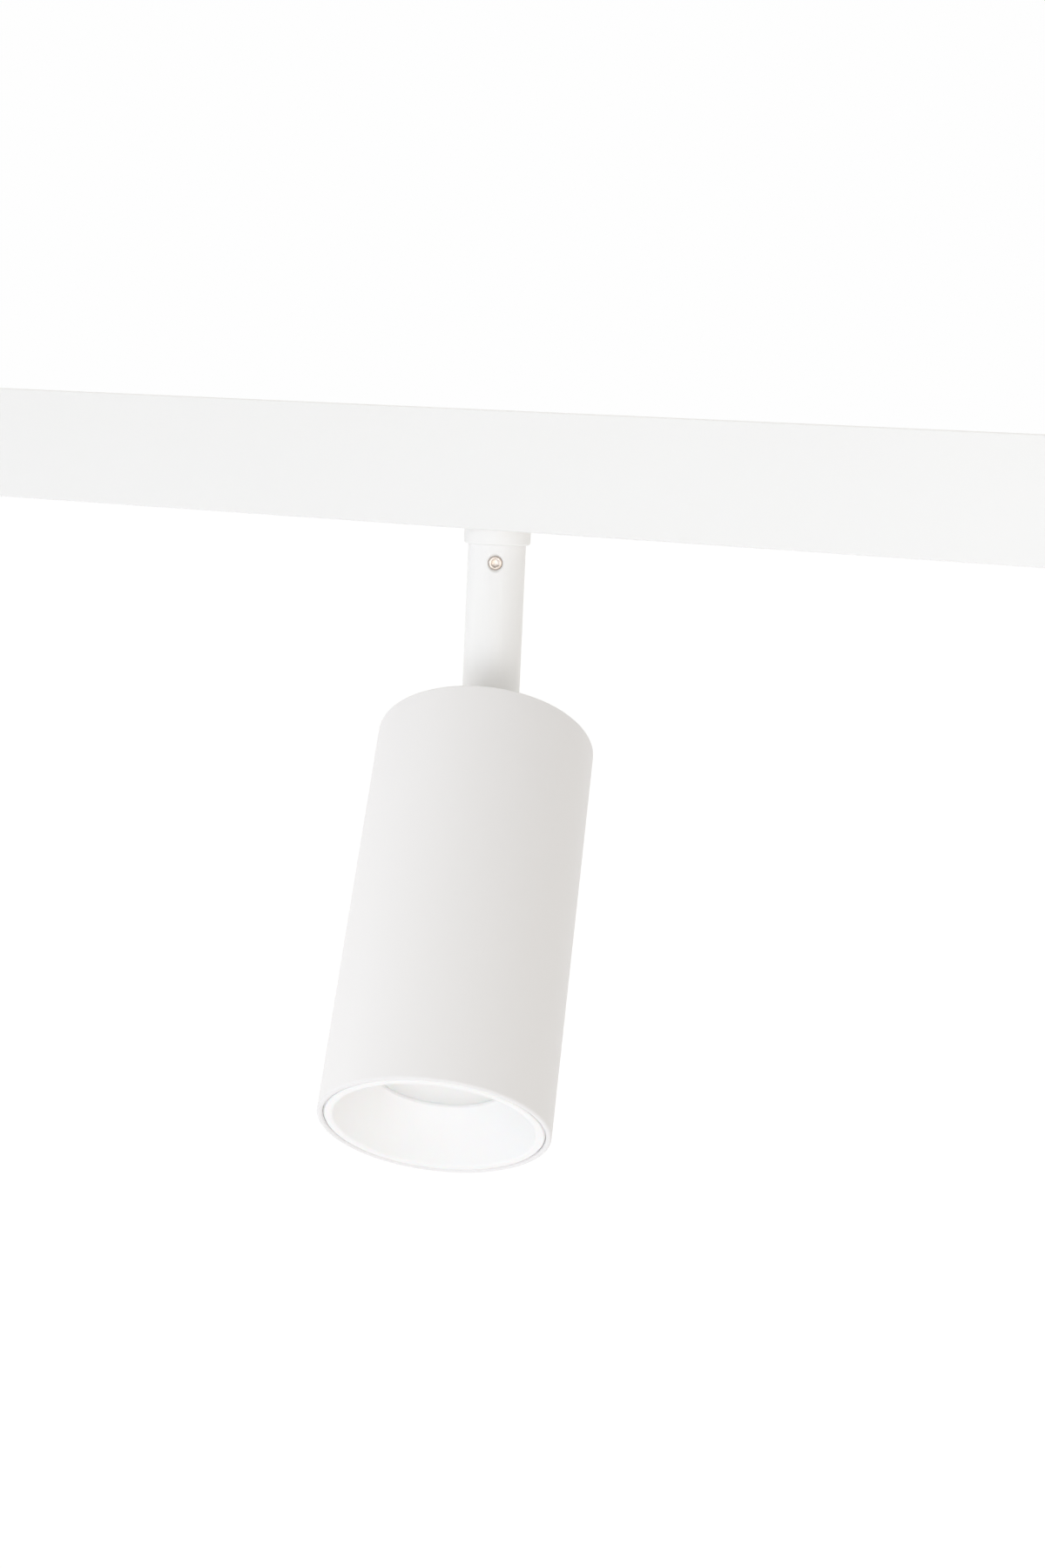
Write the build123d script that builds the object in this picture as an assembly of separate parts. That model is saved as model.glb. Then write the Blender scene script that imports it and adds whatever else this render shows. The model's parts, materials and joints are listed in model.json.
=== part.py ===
from build123d import *
from math import cos, radians, sin
import os

os.makedirs("parts", exist_ok=True)

# A spotlight on a three-circuit surface track. Millimetres, +Z up. The origin is the middle of the
# track's ceiling face, with X along the track and the front of the track towards -Y.

# How far a cut runs past the face it leaves by, and how far joined solids sink into each other
overshoot = 1.0
weld = 0.1

# Track extrusion
track_length = 500.0
track_width = 36.0
track_height = 32.0
track_wall = 1.8
track_web = 2.0
track_corner = 0.5
lip_reach = 1.5
lip_height = 2.0
shelf_reach = 3.4
shelf_thickness = 1.5
shelf_depth = 21.0
rail_reach = 1.2
rail_thickness = 0.8
rail_depth = 18.0
earth_rib_width = 0.6
earth_rib_height = 1.0
fixing_pitch = 350.0
fixing_hole = 5.2

# Insulators and conductors in the track
insulator_thickness = 7.4
insert_fit = 0.1
conductor_diameter = 2.4
conductor_setback = 3.9
upper_conductor_depth = 7.6
lower_conductor_depth = 13.6
conductor_inset = 1.0
conductor_fit = 0.05
throat_height = 2.0
throat_lead_in = 0.6
earth_strip_width = 3.6
earth_strip_thickness = 0.8
earth_strip_gap = 0.65
earth_strip_fit = 0.05

# Live feed at the left end and blank cap at the right end
feed_length = 34.0
feed_wall = 2.0
feed_cover_thickness = 1.6
feed_plug_length = 44.0
feed_contact_width = 5.0
feed_contact_thickness = 0.8
feed_contact_pitch = 12.0
feed_contact_root = 3.0
contact_gap = 0.3
cable_entry = 8.0
grommet_flange = 1.5
grommet_lip = 1.6
terminal_length = 14.0
terminal_height = 12.0
terminal_count = 5
terminal_pitch = 5.0
terminal_hole = 3.0
cap_thickness = 3.0
cap_plug_length = 10.0
end_fit = 0.1

# Adapter that runs in the track
adapter_left = 48.0
adapter_right = 132.0
adapter_end_wall = 7.0
tower_gap = 0.5
tower_headroom = 2.0
tray_gap = 0.3
tray_headroom = 0.4
tray_wall = 1.4
tray_roof = 1.5
adapter_recess = 0.3
adapter_cover_thickness = 1.6
driver_wall = 1.4
driver_board_thickness = 1.2
driver_board_lift = 1.0
driver_part_gap = 1.5
driver_part_count = 4
driver_stud = 3.0
earth_spring_length = 16.0
earth_spring_width = 3.0
earth_spring_thickness = 0.3
cover_screw = 2.4
cover_screw_head = 4.6
cover_screw_length = 6.0
cover_screw_inset = 4.0
cover_screw_slot = 0.8

# Quarter-turn locks and the contact rotor
lock_inset = 18.0
wing_clearance = 0.35
wing_width = 8.0
lock_shaft = 5.0
lock_bearing_length = 4.0
lock_knob = 12.0
knob_gap = 0.3
knob_slot_width = 1.6
knob_slot_depth = 0.8
knob_slot_inset = 1.0
running_clearance = 0.08
rotor_offset = 30.0
rotor_bay_half = 13.2
rotor_bay_top = 6.0
rotor_side_gap = 0.9
rotor_gap = 0.3
rotor_pin = 3.0
rotor_pin_length = 1.6
blade_width = 4.0
blade_thickness = 0.8
selector_knob = 10.0

# Pan bearing, collar and stem
nipple_thread = 10.0
nipple_bore = 6.0
nipple_spigot_length = 14.0
washer_thickness = 0.5
washer_outer = 16.0
washer_bore_gap = 0.2
face_clearance = 0.1
stop_washer_thickness = 0.8
stop_washer_outer = 14.0
stop_tab_gap = 0.8
stop_tab_overlap = 1.2
stop_tab_width = 2.0
stop_boss_diameter = 2.0
pan_nut_flats = 14.0
pan_nut_thickness = 2.4
collar_diameter = 18.4
collar_drop = 4.6
collar_edge = 0.6
collar_recess = 1.2
stem_diameter = 16.0
stem_wall = 1.5
stem_fit = 0.05
set_screw_diameter = 3.8
set_screw_length = 2.4
set_screw_socket = 2.0
set_screw_drop = 9.45
set_screw_sink = 0.15
set_screw_countersink = 0.35
set_screw_azimuth = 24.5

# Tilt joint
pivot_drop = 53.1
head_azimuth = 19.6
head_tilt = 39.7
knuckle_height = 8.3
knuckle_flange = 1.0
knuckle_plug = 12.0
knuckle_bore = 5.0
tongue_thickness = 6.0
tongue_eye = 7.0
lead_slot = 3.0
tilt_bolt_diameter = 5.0
tilt_bolt_head = 9.0
tilt_bolt_head_height = 2.6
tilt_bolt_edge = 1.0
tilt_bolt_socket = 3.0
tilt_bolt_socket_depth = 1.6
tilt_nut_flats = 8.0
tilt_nut_thickness = 4.0
friction_washer = 0.5
friction_washer_outer = 12.0
ear_thickness = 3.5
ear_radius = 6.8
bracket_base = 2.5
bracket_gap = 0.5
bracket_side = 1.4
bracket_corner = 3.0
bracket_screw = 3.0
bracket_screw_head = 5.6
bracket_screw_length = 7.0
bracket_screw_inset = 3.6
bracket_screw_socket = 1.8
screw_socket_depth = 1.1

# Lamp head
head_diameter = 60.0
head_length = 115.0
head_wall = 1.5
rim_round = 0.7
pivot_rise = 9.0
rear_cap_recess = 3.0
rear_cap_thickness = 3.0
rear_cap_fit = 0.1
vent_count = 30
vent_width = 2.0
vent_margin = 2.25
vent_length = 8.0
cap_screw = 3.0
cap_screw_head = 5.6
cap_screw_head_height = 1.7
cap_screw_margin = 6.35
cap_screw_bite = 4.0
cap_screw_socket = 1.8
cap_post_length = 5.0
cap_post = 7.0
lead_hole = 9.0
lead_grommet_bore = 5.0
lead_hole_margin = 1.35
lead_grommet_lip = 1.0
heat_sink_fit = 0.15
heat_sink_base = 8.0
heat_sink_core = 11.0
fin_count = 24
fin_thickness = 1.6
thermal_pad_thickness = 0.4
thermal_pad_diameter = 30.0
led_board_diameter = 34.0
led_board_thickness = 1.6
emitter_diameter = 15.0
emitter_thickness = 0.8
holder_diameter = 44.0
holder_bore = 18.0
holder_screw = 2.5
holder_screw_head = 4.4
holder_screw_head_height = 1.4
holder_screw_bite = 4.0
holder_screw_circle = 19.5
reflector_gap = 0.6
reflector_length = 18.0
reflector_wall = 1.0
reflector_throat = 8.5
reflector_mouth = 16.4
reflector_belly = 14.0
reflector_belly_depth = 8.1
lens_thickness = 2.0
lens_fit = 0.2
lens_seat = 2.2
gasket_thickness = 1.0
baffle_gap = 0.3
baffle_recess = 0.15
baffle_lip = 2.1
baffle_depth = 13.1
baffle_aperture = 34.8
baffle_land = 0.8
baffle_wall = 1.4
baffle_skirt = 18.0
baffle_edge = 0.5

# Heights and half widths across the track that follow from the section
track_bottom = -track_height
web_under = -track_web
rail_top = -rail_depth
rail_under = rail_top - rail_thickness
shelf_top = -shelf_depth
shelf_under = shelf_top - shelf_thickness
inner_half = track_width / 2 - track_wall
mouth_half = inner_half - lip_reach
slot_half = inner_half - insert_fit - insulator_thickness
insert_under = rail_top + insert_fit
earth_rib_outer = slot_half - earth_strip_gap
earth_strip_offset = earth_rib_outer - earth_rib_width - earth_strip_fit - earth_strip_width / 2
conductor_levels = (upper_conductor_depth, lower_conductor_depth)
conductor_y = slot_half + conductor_setback + conductor_diameter / 2
track_end = track_length / 2

tower_half = slot_half - tower_gap
tower_top = web_under - tower_headroom
rotor_radius = tower_half - rotor_side_gap
tray_half = mouth_half - tray_gap
tray_room = tray_half - tray_wall
stop_tab_reach = tray_room - stop_tab_gap
stop_boss_radius = stop_tab_reach - stop_tab_overlap
tray_top = shelf_under - tray_headroom
tray_ceiling = tray_top - tray_roof
adapter_face = track_bottom + adapter_recess
cover_top = adapter_face + adapter_cover_thickness

shaft_bore = lock_shaft / 2 + running_clearance
wing_top = insert_under - wing_clearance
wing_under = shelf_top + wing_clearance
wing_reach = inner_half - rail_reach - wing_clearance
wing_bay_half = wing_reach + wing_clearance
lock_places = (lock_inset - adapter_left, adapter_right - lock_inset)

# Heights down the stem
lower_washer_under = adapter_face - washer_thickness
collar_top = lower_washer_under - face_clearance
collar_bottom = track_bottom - collar_drop
spigot_top = collar_bottom + collar_recess
spigot_bottom = spigot_top - nipple_spigot_length
spigot_radius = stem_diameter / 2 - stem_wall - stem_fit
stop_washer_under = cover_top + washer_thickness + face_clearance
pan_nut_under = stop_washer_under + stop_washer_thickness
nipple_top = pan_nut_under + pan_nut_thickness
pivot_z = track_bottom - pivot_drop
stem_end = pivot_z + knuckle_height

# Heights in the head, measured from the pivot along the head's own axis with the head hanging
head_radius = head_diameter / 2
bore_radius = head_radius - head_wall
cap_screw_radius = bore_radius - cap_screw_margin
lead_flange_radius = lead_hole / 2 + grommet_flange
lead_hole_y = bore_radius - lead_hole_margin - lead_flange_radius
bracket_length = 2 * (lead_hole_y - lead_flange_radius - bracket_gap)
head_top = -pivot_rise
head_bottom = head_top - head_length
cap_top = head_top - rear_cap_recess
cap_under = cap_top - rear_cap_thickness
heat_sink_top = cap_under - cap_post_length
bracket_top = cap_top + bracket_base
washer_inner_face = tongue_thickness / 2 + face_clearance
ear_inner_face = washer_inner_face + friction_washer
ear_outer_face = ear_inner_face + ear_thickness
baffle_face = head_bottom + baffle_recess
baffle_outer = bore_radius - baffle_gap
aperture_radius = baffle_aperture / 2
lens_under = baffle_face + baffle_depth + baffle_land
lens_pocket = aperture_radius + lens_seat
lens_radius = lens_pocket - lens_fit
gasket_under = lens_under + lens_thickness
reflector_under = gasket_under + gasket_thickness
reflector_top = reflector_under + reflector_length
emitter_under = reflector_top + reflector_gap
board_under = emitter_under + emitter_thickness
board_top = board_under + led_board_thickness
heat_sink_under = board_top + thermal_pad_thickness
holder_under = reflector_top + face_clearance


def along_track(outline, start, end):
    # A closed outline of (y, z) points, carried along the track from start to end.
    face = make_face(Polyline(*outline, close=True))
    return extrude(Plane.YZ.offset(start) * face, amount=end - start)


def both_sides(half):
    # Completes an outline from its points on the +Y side.
    return half + [(-y, z) for y, z in reversed(half)]


def block(x_range, y_range, z_range):
    spans = [end - start for start, end in (x_range, y_range, z_range)]
    middle = [(start + end) / 2 for start, end in (x_range, y_range, z_range)]
    return Pos(*middle) * Box(*spans)


def rod(radius, low, high, x=0.0, y=0.0):
    return Pos(x, y, (low + high) / 2) * Cylinder(radius, high - low)


def ring(outer, inner, low, high):
    return rod(outer, low, high) - rod(inner, low - overshoot, high + overshoot)


def turned(outline):
    # A closed outline of (radius, z) points, turned about Z.
    return revolve(Plane.XZ * make_face(Polyline(*outline, close=True)), axis=Axis.Z)


def on_head(shape):
    # Places a shape of the hanging head, drawn with its pivot at the origin, at its rest pose.
    return Pos(0, 0, pivot_z) * Rot(0, 0, head_azimuth) * Rot(-head_tilt, 0, 0) * shape


def on_stem(shape, azimuth):
    return Rot(0, 0, azimuth) * shape


def countersunk_screw(shank, head, length, top):
    # The head's face is at top and the shank points down.
    cone = (head - shank) / 2
    return turned([
        (0, top), (head / 2, top), (shank / 2, top - cone),
        (shank / 2, top - length), (0, top - length),
    ])


def hex_rod(flats, low, high):
    hexagon = RegularPolygon(flats / 2, 6, major_radius=False)
    return Pos(0, 0, low) * extrude(hexagon, amount=high - low)


# Track

def track_profile():
    half = [
        (track_width / 2, 0), (track_width / 2, track_bottom), (mouth_half, track_bottom),
        (mouth_half, track_bottom + lip_height), (inner_half, track_bottom + lip_height),
        (inner_half, shelf_under), (inner_half - shelf_reach, shelf_under),
        (inner_half - shelf_reach, shelf_top), (inner_half, shelf_top),
        (inner_half, rail_under), (inner_half - rail_reach, rail_under),
        (inner_half - rail_reach, rail_top), (inner_half, rail_top), (inner_half, web_under),
    ]
    profile = along_track(both_sides(half), -track_end, track_end)
    corners = [
        edge for edge in profile.edges().filter_by(Axis.X)
        if abs(abs(edge.center().Y) - track_width / 2) < 0.01
    ]
    profile = fillet(corners, track_corner)
    strip_edge = earth_strip_width / 2 + earth_strip_fit
    for inner, outer in ((-strip_edge - earth_rib_width, -strip_edge),
                         (strip_edge, strip_edge + earth_rib_width)):
        rib = block((-track_end, track_end),
                    (earth_strip_offset + inner, earth_strip_offset + outer),
                    (web_under - earth_rib_height, web_under))
        profile += rib
    for x in (-fixing_pitch / 2, fixing_pitch / 2):
        profile -= rod(fixing_hole / 2, web_under - overshoot, overshoot, x)
    return profile


def insulator():
    # The rear insulator. Its two undercut slots hold the conductors and open to the channel.
    outline = [
        (slot_half, web_under - insert_fit), (inner_half - insert_fit, web_under - insert_fit),
        (inner_half - insert_fit, insert_under), (slot_half, insert_under),
    ]
    body = along_track(outline, -track_end, track_end)
    for level in conductor_levels:
        high = -level + throat_height / 2
        low = -level - throat_height / 2
        slot = [
            (slot_half, high + throat_lead_in), (slot_half + throat_lead_in, high),
            (conductor_y, high), (conductor_y, low), (slot_half + throat_lead_in, low),
            (slot_half, low - throat_lead_in),
        ]
        body -= along_track(slot, -track_end, track_end)
        pocket = Rot(0, 90, 0) * Cylinder(conductor_diameter / 2 + conductor_fit, track_length)
        body -= Pos(0, conductor_y, -level) * pocket
    return body


def copper_conductors():
    length = track_length - 2 * conductor_inset
    wire = Rot(0, 90, 0) * Cylinder(conductor_diameter / 2, length)
    return [
        Pos(0, side * conductor_y, -level) * wire
        for side in (-1, 1) for level in conductor_levels
    ]


def earth_strip():
    half = earth_strip_width / 2
    return block((conductor_inset - track_end, track_end - conductor_inset),
                 (earth_strip_offset - half, earth_strip_offset + half),
                 (web_under - earth_strip_thickness, web_under))


def plug_outline(bottom):
    # The T-shaped section that fills the channel, as used by the feed, the cap and the adapter.
    return both_sides([
        (tower_half, tower_top), (tower_half, tray_top),
        (tray_half, tray_top), (tray_half, bottom),
    ])


def feed_contact_places():
    # Two contacts on each side, at the two conductor levels, one behind the other.
    first = -track_end + feed_plug_length - 2 * feed_contact_pitch
    return [
        (side, level, first + place * feed_contact_pitch)
        for side in (-1, 1) for place, level in enumerate(conductor_levels)
    ]


def feed_contacts():
    tip = slot_half + conductor_setback - contact_gap
    blades = []
    for side, level, x in feed_contact_places():
        reach = sorted((side * feed_contact_root, side * tip))
        blades.append(block((x, x + feed_contact_width), reach,
                            (-level - feed_contact_thickness / 2,
                             -level + feed_contact_thickness / 2)))
    return blades


def feed_housing():
    box_end = -track_end - feed_length
    half = track_width / 2
    shell = block((box_end, -track_end), (-half, half), (track_bottom, 0))
    rounded = [
        edge for edge in shell.edges()
        if edge.center().X < -track_end - 0.01
    ]
    shell = fillet(rounded, track_corner)
    shell -= block((box_end + feed_wall, -track_end - feed_wall),
                   (-half + feed_wall, half - feed_wall),
                   (track_bottom - overshoot, -feed_wall))
    shell += along_track(plug_outline(adapter_face), -track_end,
                         -track_end + feed_plug_length)
    for blade in feed_contacts():
        shell -= blade
    entry = Rot(0, 90, 0) * Cylinder(cable_entry / 2 + grommet_lip, 4 * feed_wall)
    shell -= Pos(box_end, 0, track_bottom / 2) * entry
    return shell


def feed_cover():
    half = track_width / 2 - feed_wall - end_fit
    return block((-track_end - feed_length + feed_wall + end_fit,
                  -track_end - feed_wall - end_fit),
                 (-half, half), (track_bottom, track_bottom + feed_cover_thickness))


def feed_terminal_block():
    # It hangs from the housing's roof, with a wire hole and a clamping screw for each core.
    half = terminal_count * terminal_pitch / 2
    right = -track_end - feed_wall
    left = right - terminal_length
    body = block((left, right), (-half, half), (-feed_wall - terminal_height, -feed_wall))
    for place in range(terminal_count):
        y = (place - (terminal_count - 1) / 2) * terminal_pitch
        hole = Rot(0, 90, 0) * Cylinder(terminal_hole / 2, terminal_length)
        body -= Pos(left, y, -feed_wall - terminal_height / 2) * hole
        low = -feed_wall - terminal_height
        body -= rod(terminal_hole / 2, low - overshoot, low + terminal_height / 3,
                    left + terminal_length / 3, y)
    return body


def feed_terminal_screws():
    low = -feed_wall - terminal_height
    x = -track_end - feed_wall - 2 * terminal_length / 3
    screws = []
    for place in range(terminal_count):
        y = (place - (terminal_count - 1) / 2) * terminal_pitch
        screws.append(rod(terminal_hole / 2, low, low + terminal_height / 3, x, y))
    return screws


def cable_grommet():
    # A bush with a groove that grips the edge of the entry hole in the feed's end wall.
    bore = cable_entry / 2
    neck = bore + grommet_lip
    flange = neck + grommet_flange
    outside = -grommet_flange
    inside = feed_wall + grommet_flange
    profile = [
        (bore, outside), (flange, outside), (flange, 0), (neck, 0),
        (neck, feed_wall), (flange, feed_wall), (flange, inside), (bore, inside),
    ]
    return Pos(-track_end - feed_length, 0, track_bottom / 2) * Rot(0, 90, 0) * turned(profile)


def end_cap():
    half = track_width / 2
    plate = block((track_end, track_end + cap_thickness), (-half, half), (track_bottom, 0))
    outer = [edge for edge in plate.edges() if edge.center().X > track_end + 0.01]
    plate = fillet(outer, track_corner)
    plug = along_track(plug_outline(adapter_face), track_end - cap_plug_length, track_end)
    leading = [edge for edge in plug.edges() if edge.center().X < track_end - cap_plug_length + 0.01]
    return plate + chamfer(leading, track_corner)


# Adapter

def adapter_housing():
    left = -adapter_left
    right = adapter_right
    body = along_track(plug_outline(cover_top), left, right)
    # Open underneath for the bearing nut, the shafts and the driver board.
    body -= block((left + adapter_end_wall, right - adapter_end_wall), (-tray_room, tray_room),
                  (cover_top - overshoot, tray_ceiling))
    # Driver bay in the tower, between the contact rotor and the right-hand lock.
    driver_start, driver_end = driver_bay()
    body -= block((driver_start, driver_end),
                  (driver_wall - tower_half, tower_half - driver_wall),
                  (tray_ceiling - overshoot, tower_top - driver_wall))
    # The rotor's bay is open to both rows of conductors.
    body -= block((rotor_offset - rotor_bay_half, rotor_offset + rotor_bay_half),
                  (-track_width, track_width),
                  (insert_under, -rotor_bay_top))
    body -= rod(shaft_bore, tray_ceiling - overshoot, insert_under + overshoot, rotor_offset)
    body -= rod(rotor_pin / 2 + running_clearance, -rotor_bay_top - overshoot,
                tower_top + overshoot, rotor_offset)
    for x in lock_places:
        body -= block((x - wing_bay_half, x + wing_bay_half), (-track_width, track_width),
                      (wing_under - wing_clearance, wing_top + wing_clearance))
        body -= rod(shaft_bore, tray_ceiling - overshoot,
                    wing_top + lock_bearing_length + wing_clearance, x)
    # The stop boss that the pan washer's tab meets after nearly a full turn.
    body += rod(stop_boss_diameter / 2, cover_top + face_clearance, tray_ceiling,
                -stop_boss_radius)
    for x, y in cover_screw_places():
        body -= rod(cover_screw / 2, adapter_face, adapter_face + cover_screw_length, x, y)
    return body


def driver_bay():
    start = rotor_offset + rotor_bay_half + driver_wall
    end = lock_places[1] - wing_bay_half - driver_wall
    return start, end


def cover_screw_places():
    half = tray_half - cover_screw_inset
    return [
        (x, y) for x in (-adapter_left + cover_screw_inset, adapter_right - cover_screw_inset)
        for y in (-half, half)
    ]


def adapter_cover():
    plate = block((-adapter_left, adapter_right), (-tray_half, tray_half),
                  (adapter_face, cover_top))
    low = adapter_face - overshoot
    high = cover_top + overshoot
    plate -= rod(nipple_thread / 2 + running_clearance, low, high)
    for x in lock_places:
        plate -= rod(lock_knob / 2 + knob_gap, low, high, x)
    plate -= rod(selector_knob / 2 + knob_gap, low, high, rotor_offset)
    for x, y in cover_screw_places():
        plate -= Pos(x, y, 0) * cover_screw_body()
    return plate


def cover_screw_body():
    # Upside down: the head's face is flush with the cover's lower face.
    screw = countersunk_screw(cover_screw, cover_screw_head, cover_screw_length, 0)
    return Pos(0, 0, adapter_face) * Rot(180, 0, 0) * screw


def adapter_cover_screws():
    screws = []
    for x, y in cover_screw_places():
        slot = block((-cover_screw_slot / 2, cover_screw_slot / 2), (-cover_screw, cover_screw),
                     (adapter_face - overshoot, adapter_face + cover_screw_slot))
        screws.append(Pos(x, y, 0) * (cover_screw_body() - slot))
    return screws


def driver_board():
    start, end = driver_bay()
    half = tray_room - face_clearance
    low = cover_top + driver_board_lift
    board = block((start, end), (-half, half), (low, low + driver_board_thickness))
    for x in (start + driver_stud, end - driver_stud):
        for y in (-half + driver_stud, half - driver_stud):
            board += rod(driver_stud / 2, cover_top, low, x, y)
    return board


def driver_components():
    # From left to right: input choke, transformer and two smoothing capacitors.
    start, end = driver_bay()
    low = cover_top + driver_board_lift + driver_board_thickness
    high = tower_top - driver_wall - driver_part_gap
    half = tower_half - driver_wall - driver_part_gap
    span = (end - start - driver_part_gap) / driver_part_count - driver_part_gap
    places = [start + driver_part_gap + n * (span + driver_part_gap)
              for n in range(driver_part_count)]
    middle = (low + high) / 2
    choke = rod(min(half, span / 2), low, middle, places[0] + span / 2)
    transformer = block((places[1], places[1] + span), (-half, half), (low, high))
    parts = [choke, transformer]
    for place in places[2:]:
        parts.append(rod(min(half, span / 2), low, high, place + span / 2))
    return parts


def earth_spring():
    # A bowed leaf on the tower that presses up to the earth strip.
    rise = (web_under - earth_strip_thickness - contact_gap) - tower_top
    start = driver_bay()[0]
    middle = start + earth_spring_length / 2
    lower = ThreePointArc((start, tower_top), (middle, tower_top + rise - earth_spring_thickness),
                          (start + earth_spring_length, tower_top))
    upper = ThreePointArc((start, tower_top + earth_spring_thickness),
                          (middle, tower_top + rise),
                          (start + earth_spring_length, tower_top + earth_spring_thickness))
    ends = [Line(lower @ 0, upper @ 0), Line(lower @ 1, upper @ 1)]
    face = make_face([lower, upper] + ends)
    leaf = extrude(Plane.XZ * face, amount=earth_spring_width / 2, both=True)
    return Pos(0, earth_strip_offset, 0) * leaf


# Locks and contact rotor

def turning_knob(diameter, x, shaft_top):
    knob = rod(diameter / 2, adapter_face, cover_top, x)
    knob += rod(lock_shaft / 2, cover_top - weld, shaft_top, x)
    slot = block((x - diameter / 2 + knob_slot_inset, x + diameter / 2 - knob_slot_inset),
                 (-knob_slot_width / 2, knob_slot_width / 2),
                 (adapter_face - overshoot, adapter_face + knob_slot_depth))
    return knob - slot


def lock_lever(x):
    return turning_knob(lock_knob, x, wing_top + lock_bearing_length)


def lock_wing(x):
    # A bar with rounded ends that reaches over both shelves of the track.
    bar = block((-wing_width / 2, wing_width / 2), (-wing_reach, wing_reach),
                (wing_under, wing_top))
    bar &= rod(wing_reach, wing_under, wing_top)
    return Pos(x, 0, 0) * (bar - rod(lock_shaft / 2, wing_under - overshoot, wing_top + overshoot))


def contact_drum():
    low = insert_under + rotor_gap
    high = -rotor_bay_top - rotor_gap
    drum = turning_knob(selector_knob, rotor_offset, low + weld)
    drum += rod(rotor_radius, low, high, rotor_offset)
    drum += rod(rotor_pin / 2, high - weld, high + rotor_pin_length, rotor_offset)
    for blade in contact_blades():
        drum -= blade
    return drum


def contact_blades():
    # The upper blade meets a rear conductor and the lower one a front conductor.
    tip = slot_half + conductor_setback - contact_gap
    blades = []
    for side, level in zip((1, -1), conductor_levels):
        bar = block((-blade_width / 2, blade_width / 2), sorted((side * lock_shaft / 2, side * tip)),
                    (-level - blade_thickness / 2, -level + blade_thickness / 2))
        bar &= rod(tip, -level - blade_thickness, -level + blade_thickness)
        blades.append(Pos(rotor_offset, 0, 0) * bar)
    return blades


# Pan bearing and stem

def pan_washer_upper():
    inner = nipple_thread / 2 + washer_bore_gap
    return ring(washer_outer / 2, inner, cover_top, cover_top + washer_thickness)


def pan_washer_lower():
    inner = nipple_thread / 2 + washer_bore_gap
    return ring(washer_outer / 2, inner, lower_washer_under, adapter_face)


def pan_nipple():
    # A hollow stud: the thread goes up through the cover, the spigot goes down into the stem.
    bore = nipple_bore / 2
    thread = nipple_thread / 2
    stud = turned([
        (bore, spigot_bottom), (spigot_radius, spigot_bottom), (spigot_radius, spigot_top),
        (thread, spigot_top), (thread, nipple_top), (bore, nipple_top),
    ])
    return stud - on_stem(set_screw_blank(0.0), set_screw_azimuth)


def pan_stop_washer():
    low = stop_washer_under
    high = low + stop_washer_thickness
    washer = rod(stop_washer_outer / 2, low, high)
    washer += block((0, stop_tab_reach), (-stop_tab_width / 2, stop_tab_width / 2), (low, high))
    return washer - rod(nipple_thread / 2, low - overshoot, high + overshoot)


def pan_nut():
    nut = hex_rod(pan_nut_flats, pan_nut_under, nipple_top)
    return nut - rod(nipple_thread / 2, pan_nut_under - overshoot, nipple_top + overshoot)


def collar():
    radius = collar_diameter / 2
    body = turned([
        (nipple_thread / 2, collar_top), (radius, collar_top), (radius, collar_bottom),
        (stem_diameter / 2 + stem_fit, collar_bottom), (stem_diameter / 2 + stem_fit, spigot_top),
        (nipple_thread / 2, spigot_top),
    ])
    edge = [
        e for e in body.edges().filter_by(GeomType.CIRCLE)
        if abs(e.radius - radius) < 0.01 and abs(e.center().Z - collar_bottom) < 0.01
    ]
    return fillet(edge, collar_edge)


def set_screw_blank(clearance):
    face = stem_diameter / 2 - set_screw_sink
    blank = Cylinder(set_screw_diameter / 2 + clearance, set_screw_length)
    middle = face - set_screw_length / 2
    return Pos(0, -middle, track_bottom - set_screw_drop) * Rot(90, 0, 0) * blank


def set_screw():
    screw = set_screw_blank(0.0)
    face = stem_diameter / 2 - set_screw_sink
    socket = hex_rod(set_screw_socket, 0, set_screw_length / 2)
    socket = Pos(0, -face + set_screw_length / 2, track_bottom - set_screw_drop) * Rot(90, 0, 0) * socket
    return on_stem(screw - socket, set_screw_azimuth)


def stem_tube():
    radius = stem_diameter / 2
    tube = ring(radius, radius - stem_wall, stem_end, spigot_top)
    drilled = Pos(0, -radius, track_bottom - set_screw_drop) * Rot(90, 0, 0)
    hole = Cylinder(set_screw_diameter / 2, 4 * stem_wall)
    sunk = Pos(0, 0, -set_screw_countersink) * Cone(
        set_screw_diameter / 2, set_screw_diameter / 2 + 2 * set_screw_countersink,
        2 * set_screw_countersink)
    return tube - on_stem(drilled * (hole + sunk), set_screw_azimuth)


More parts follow.
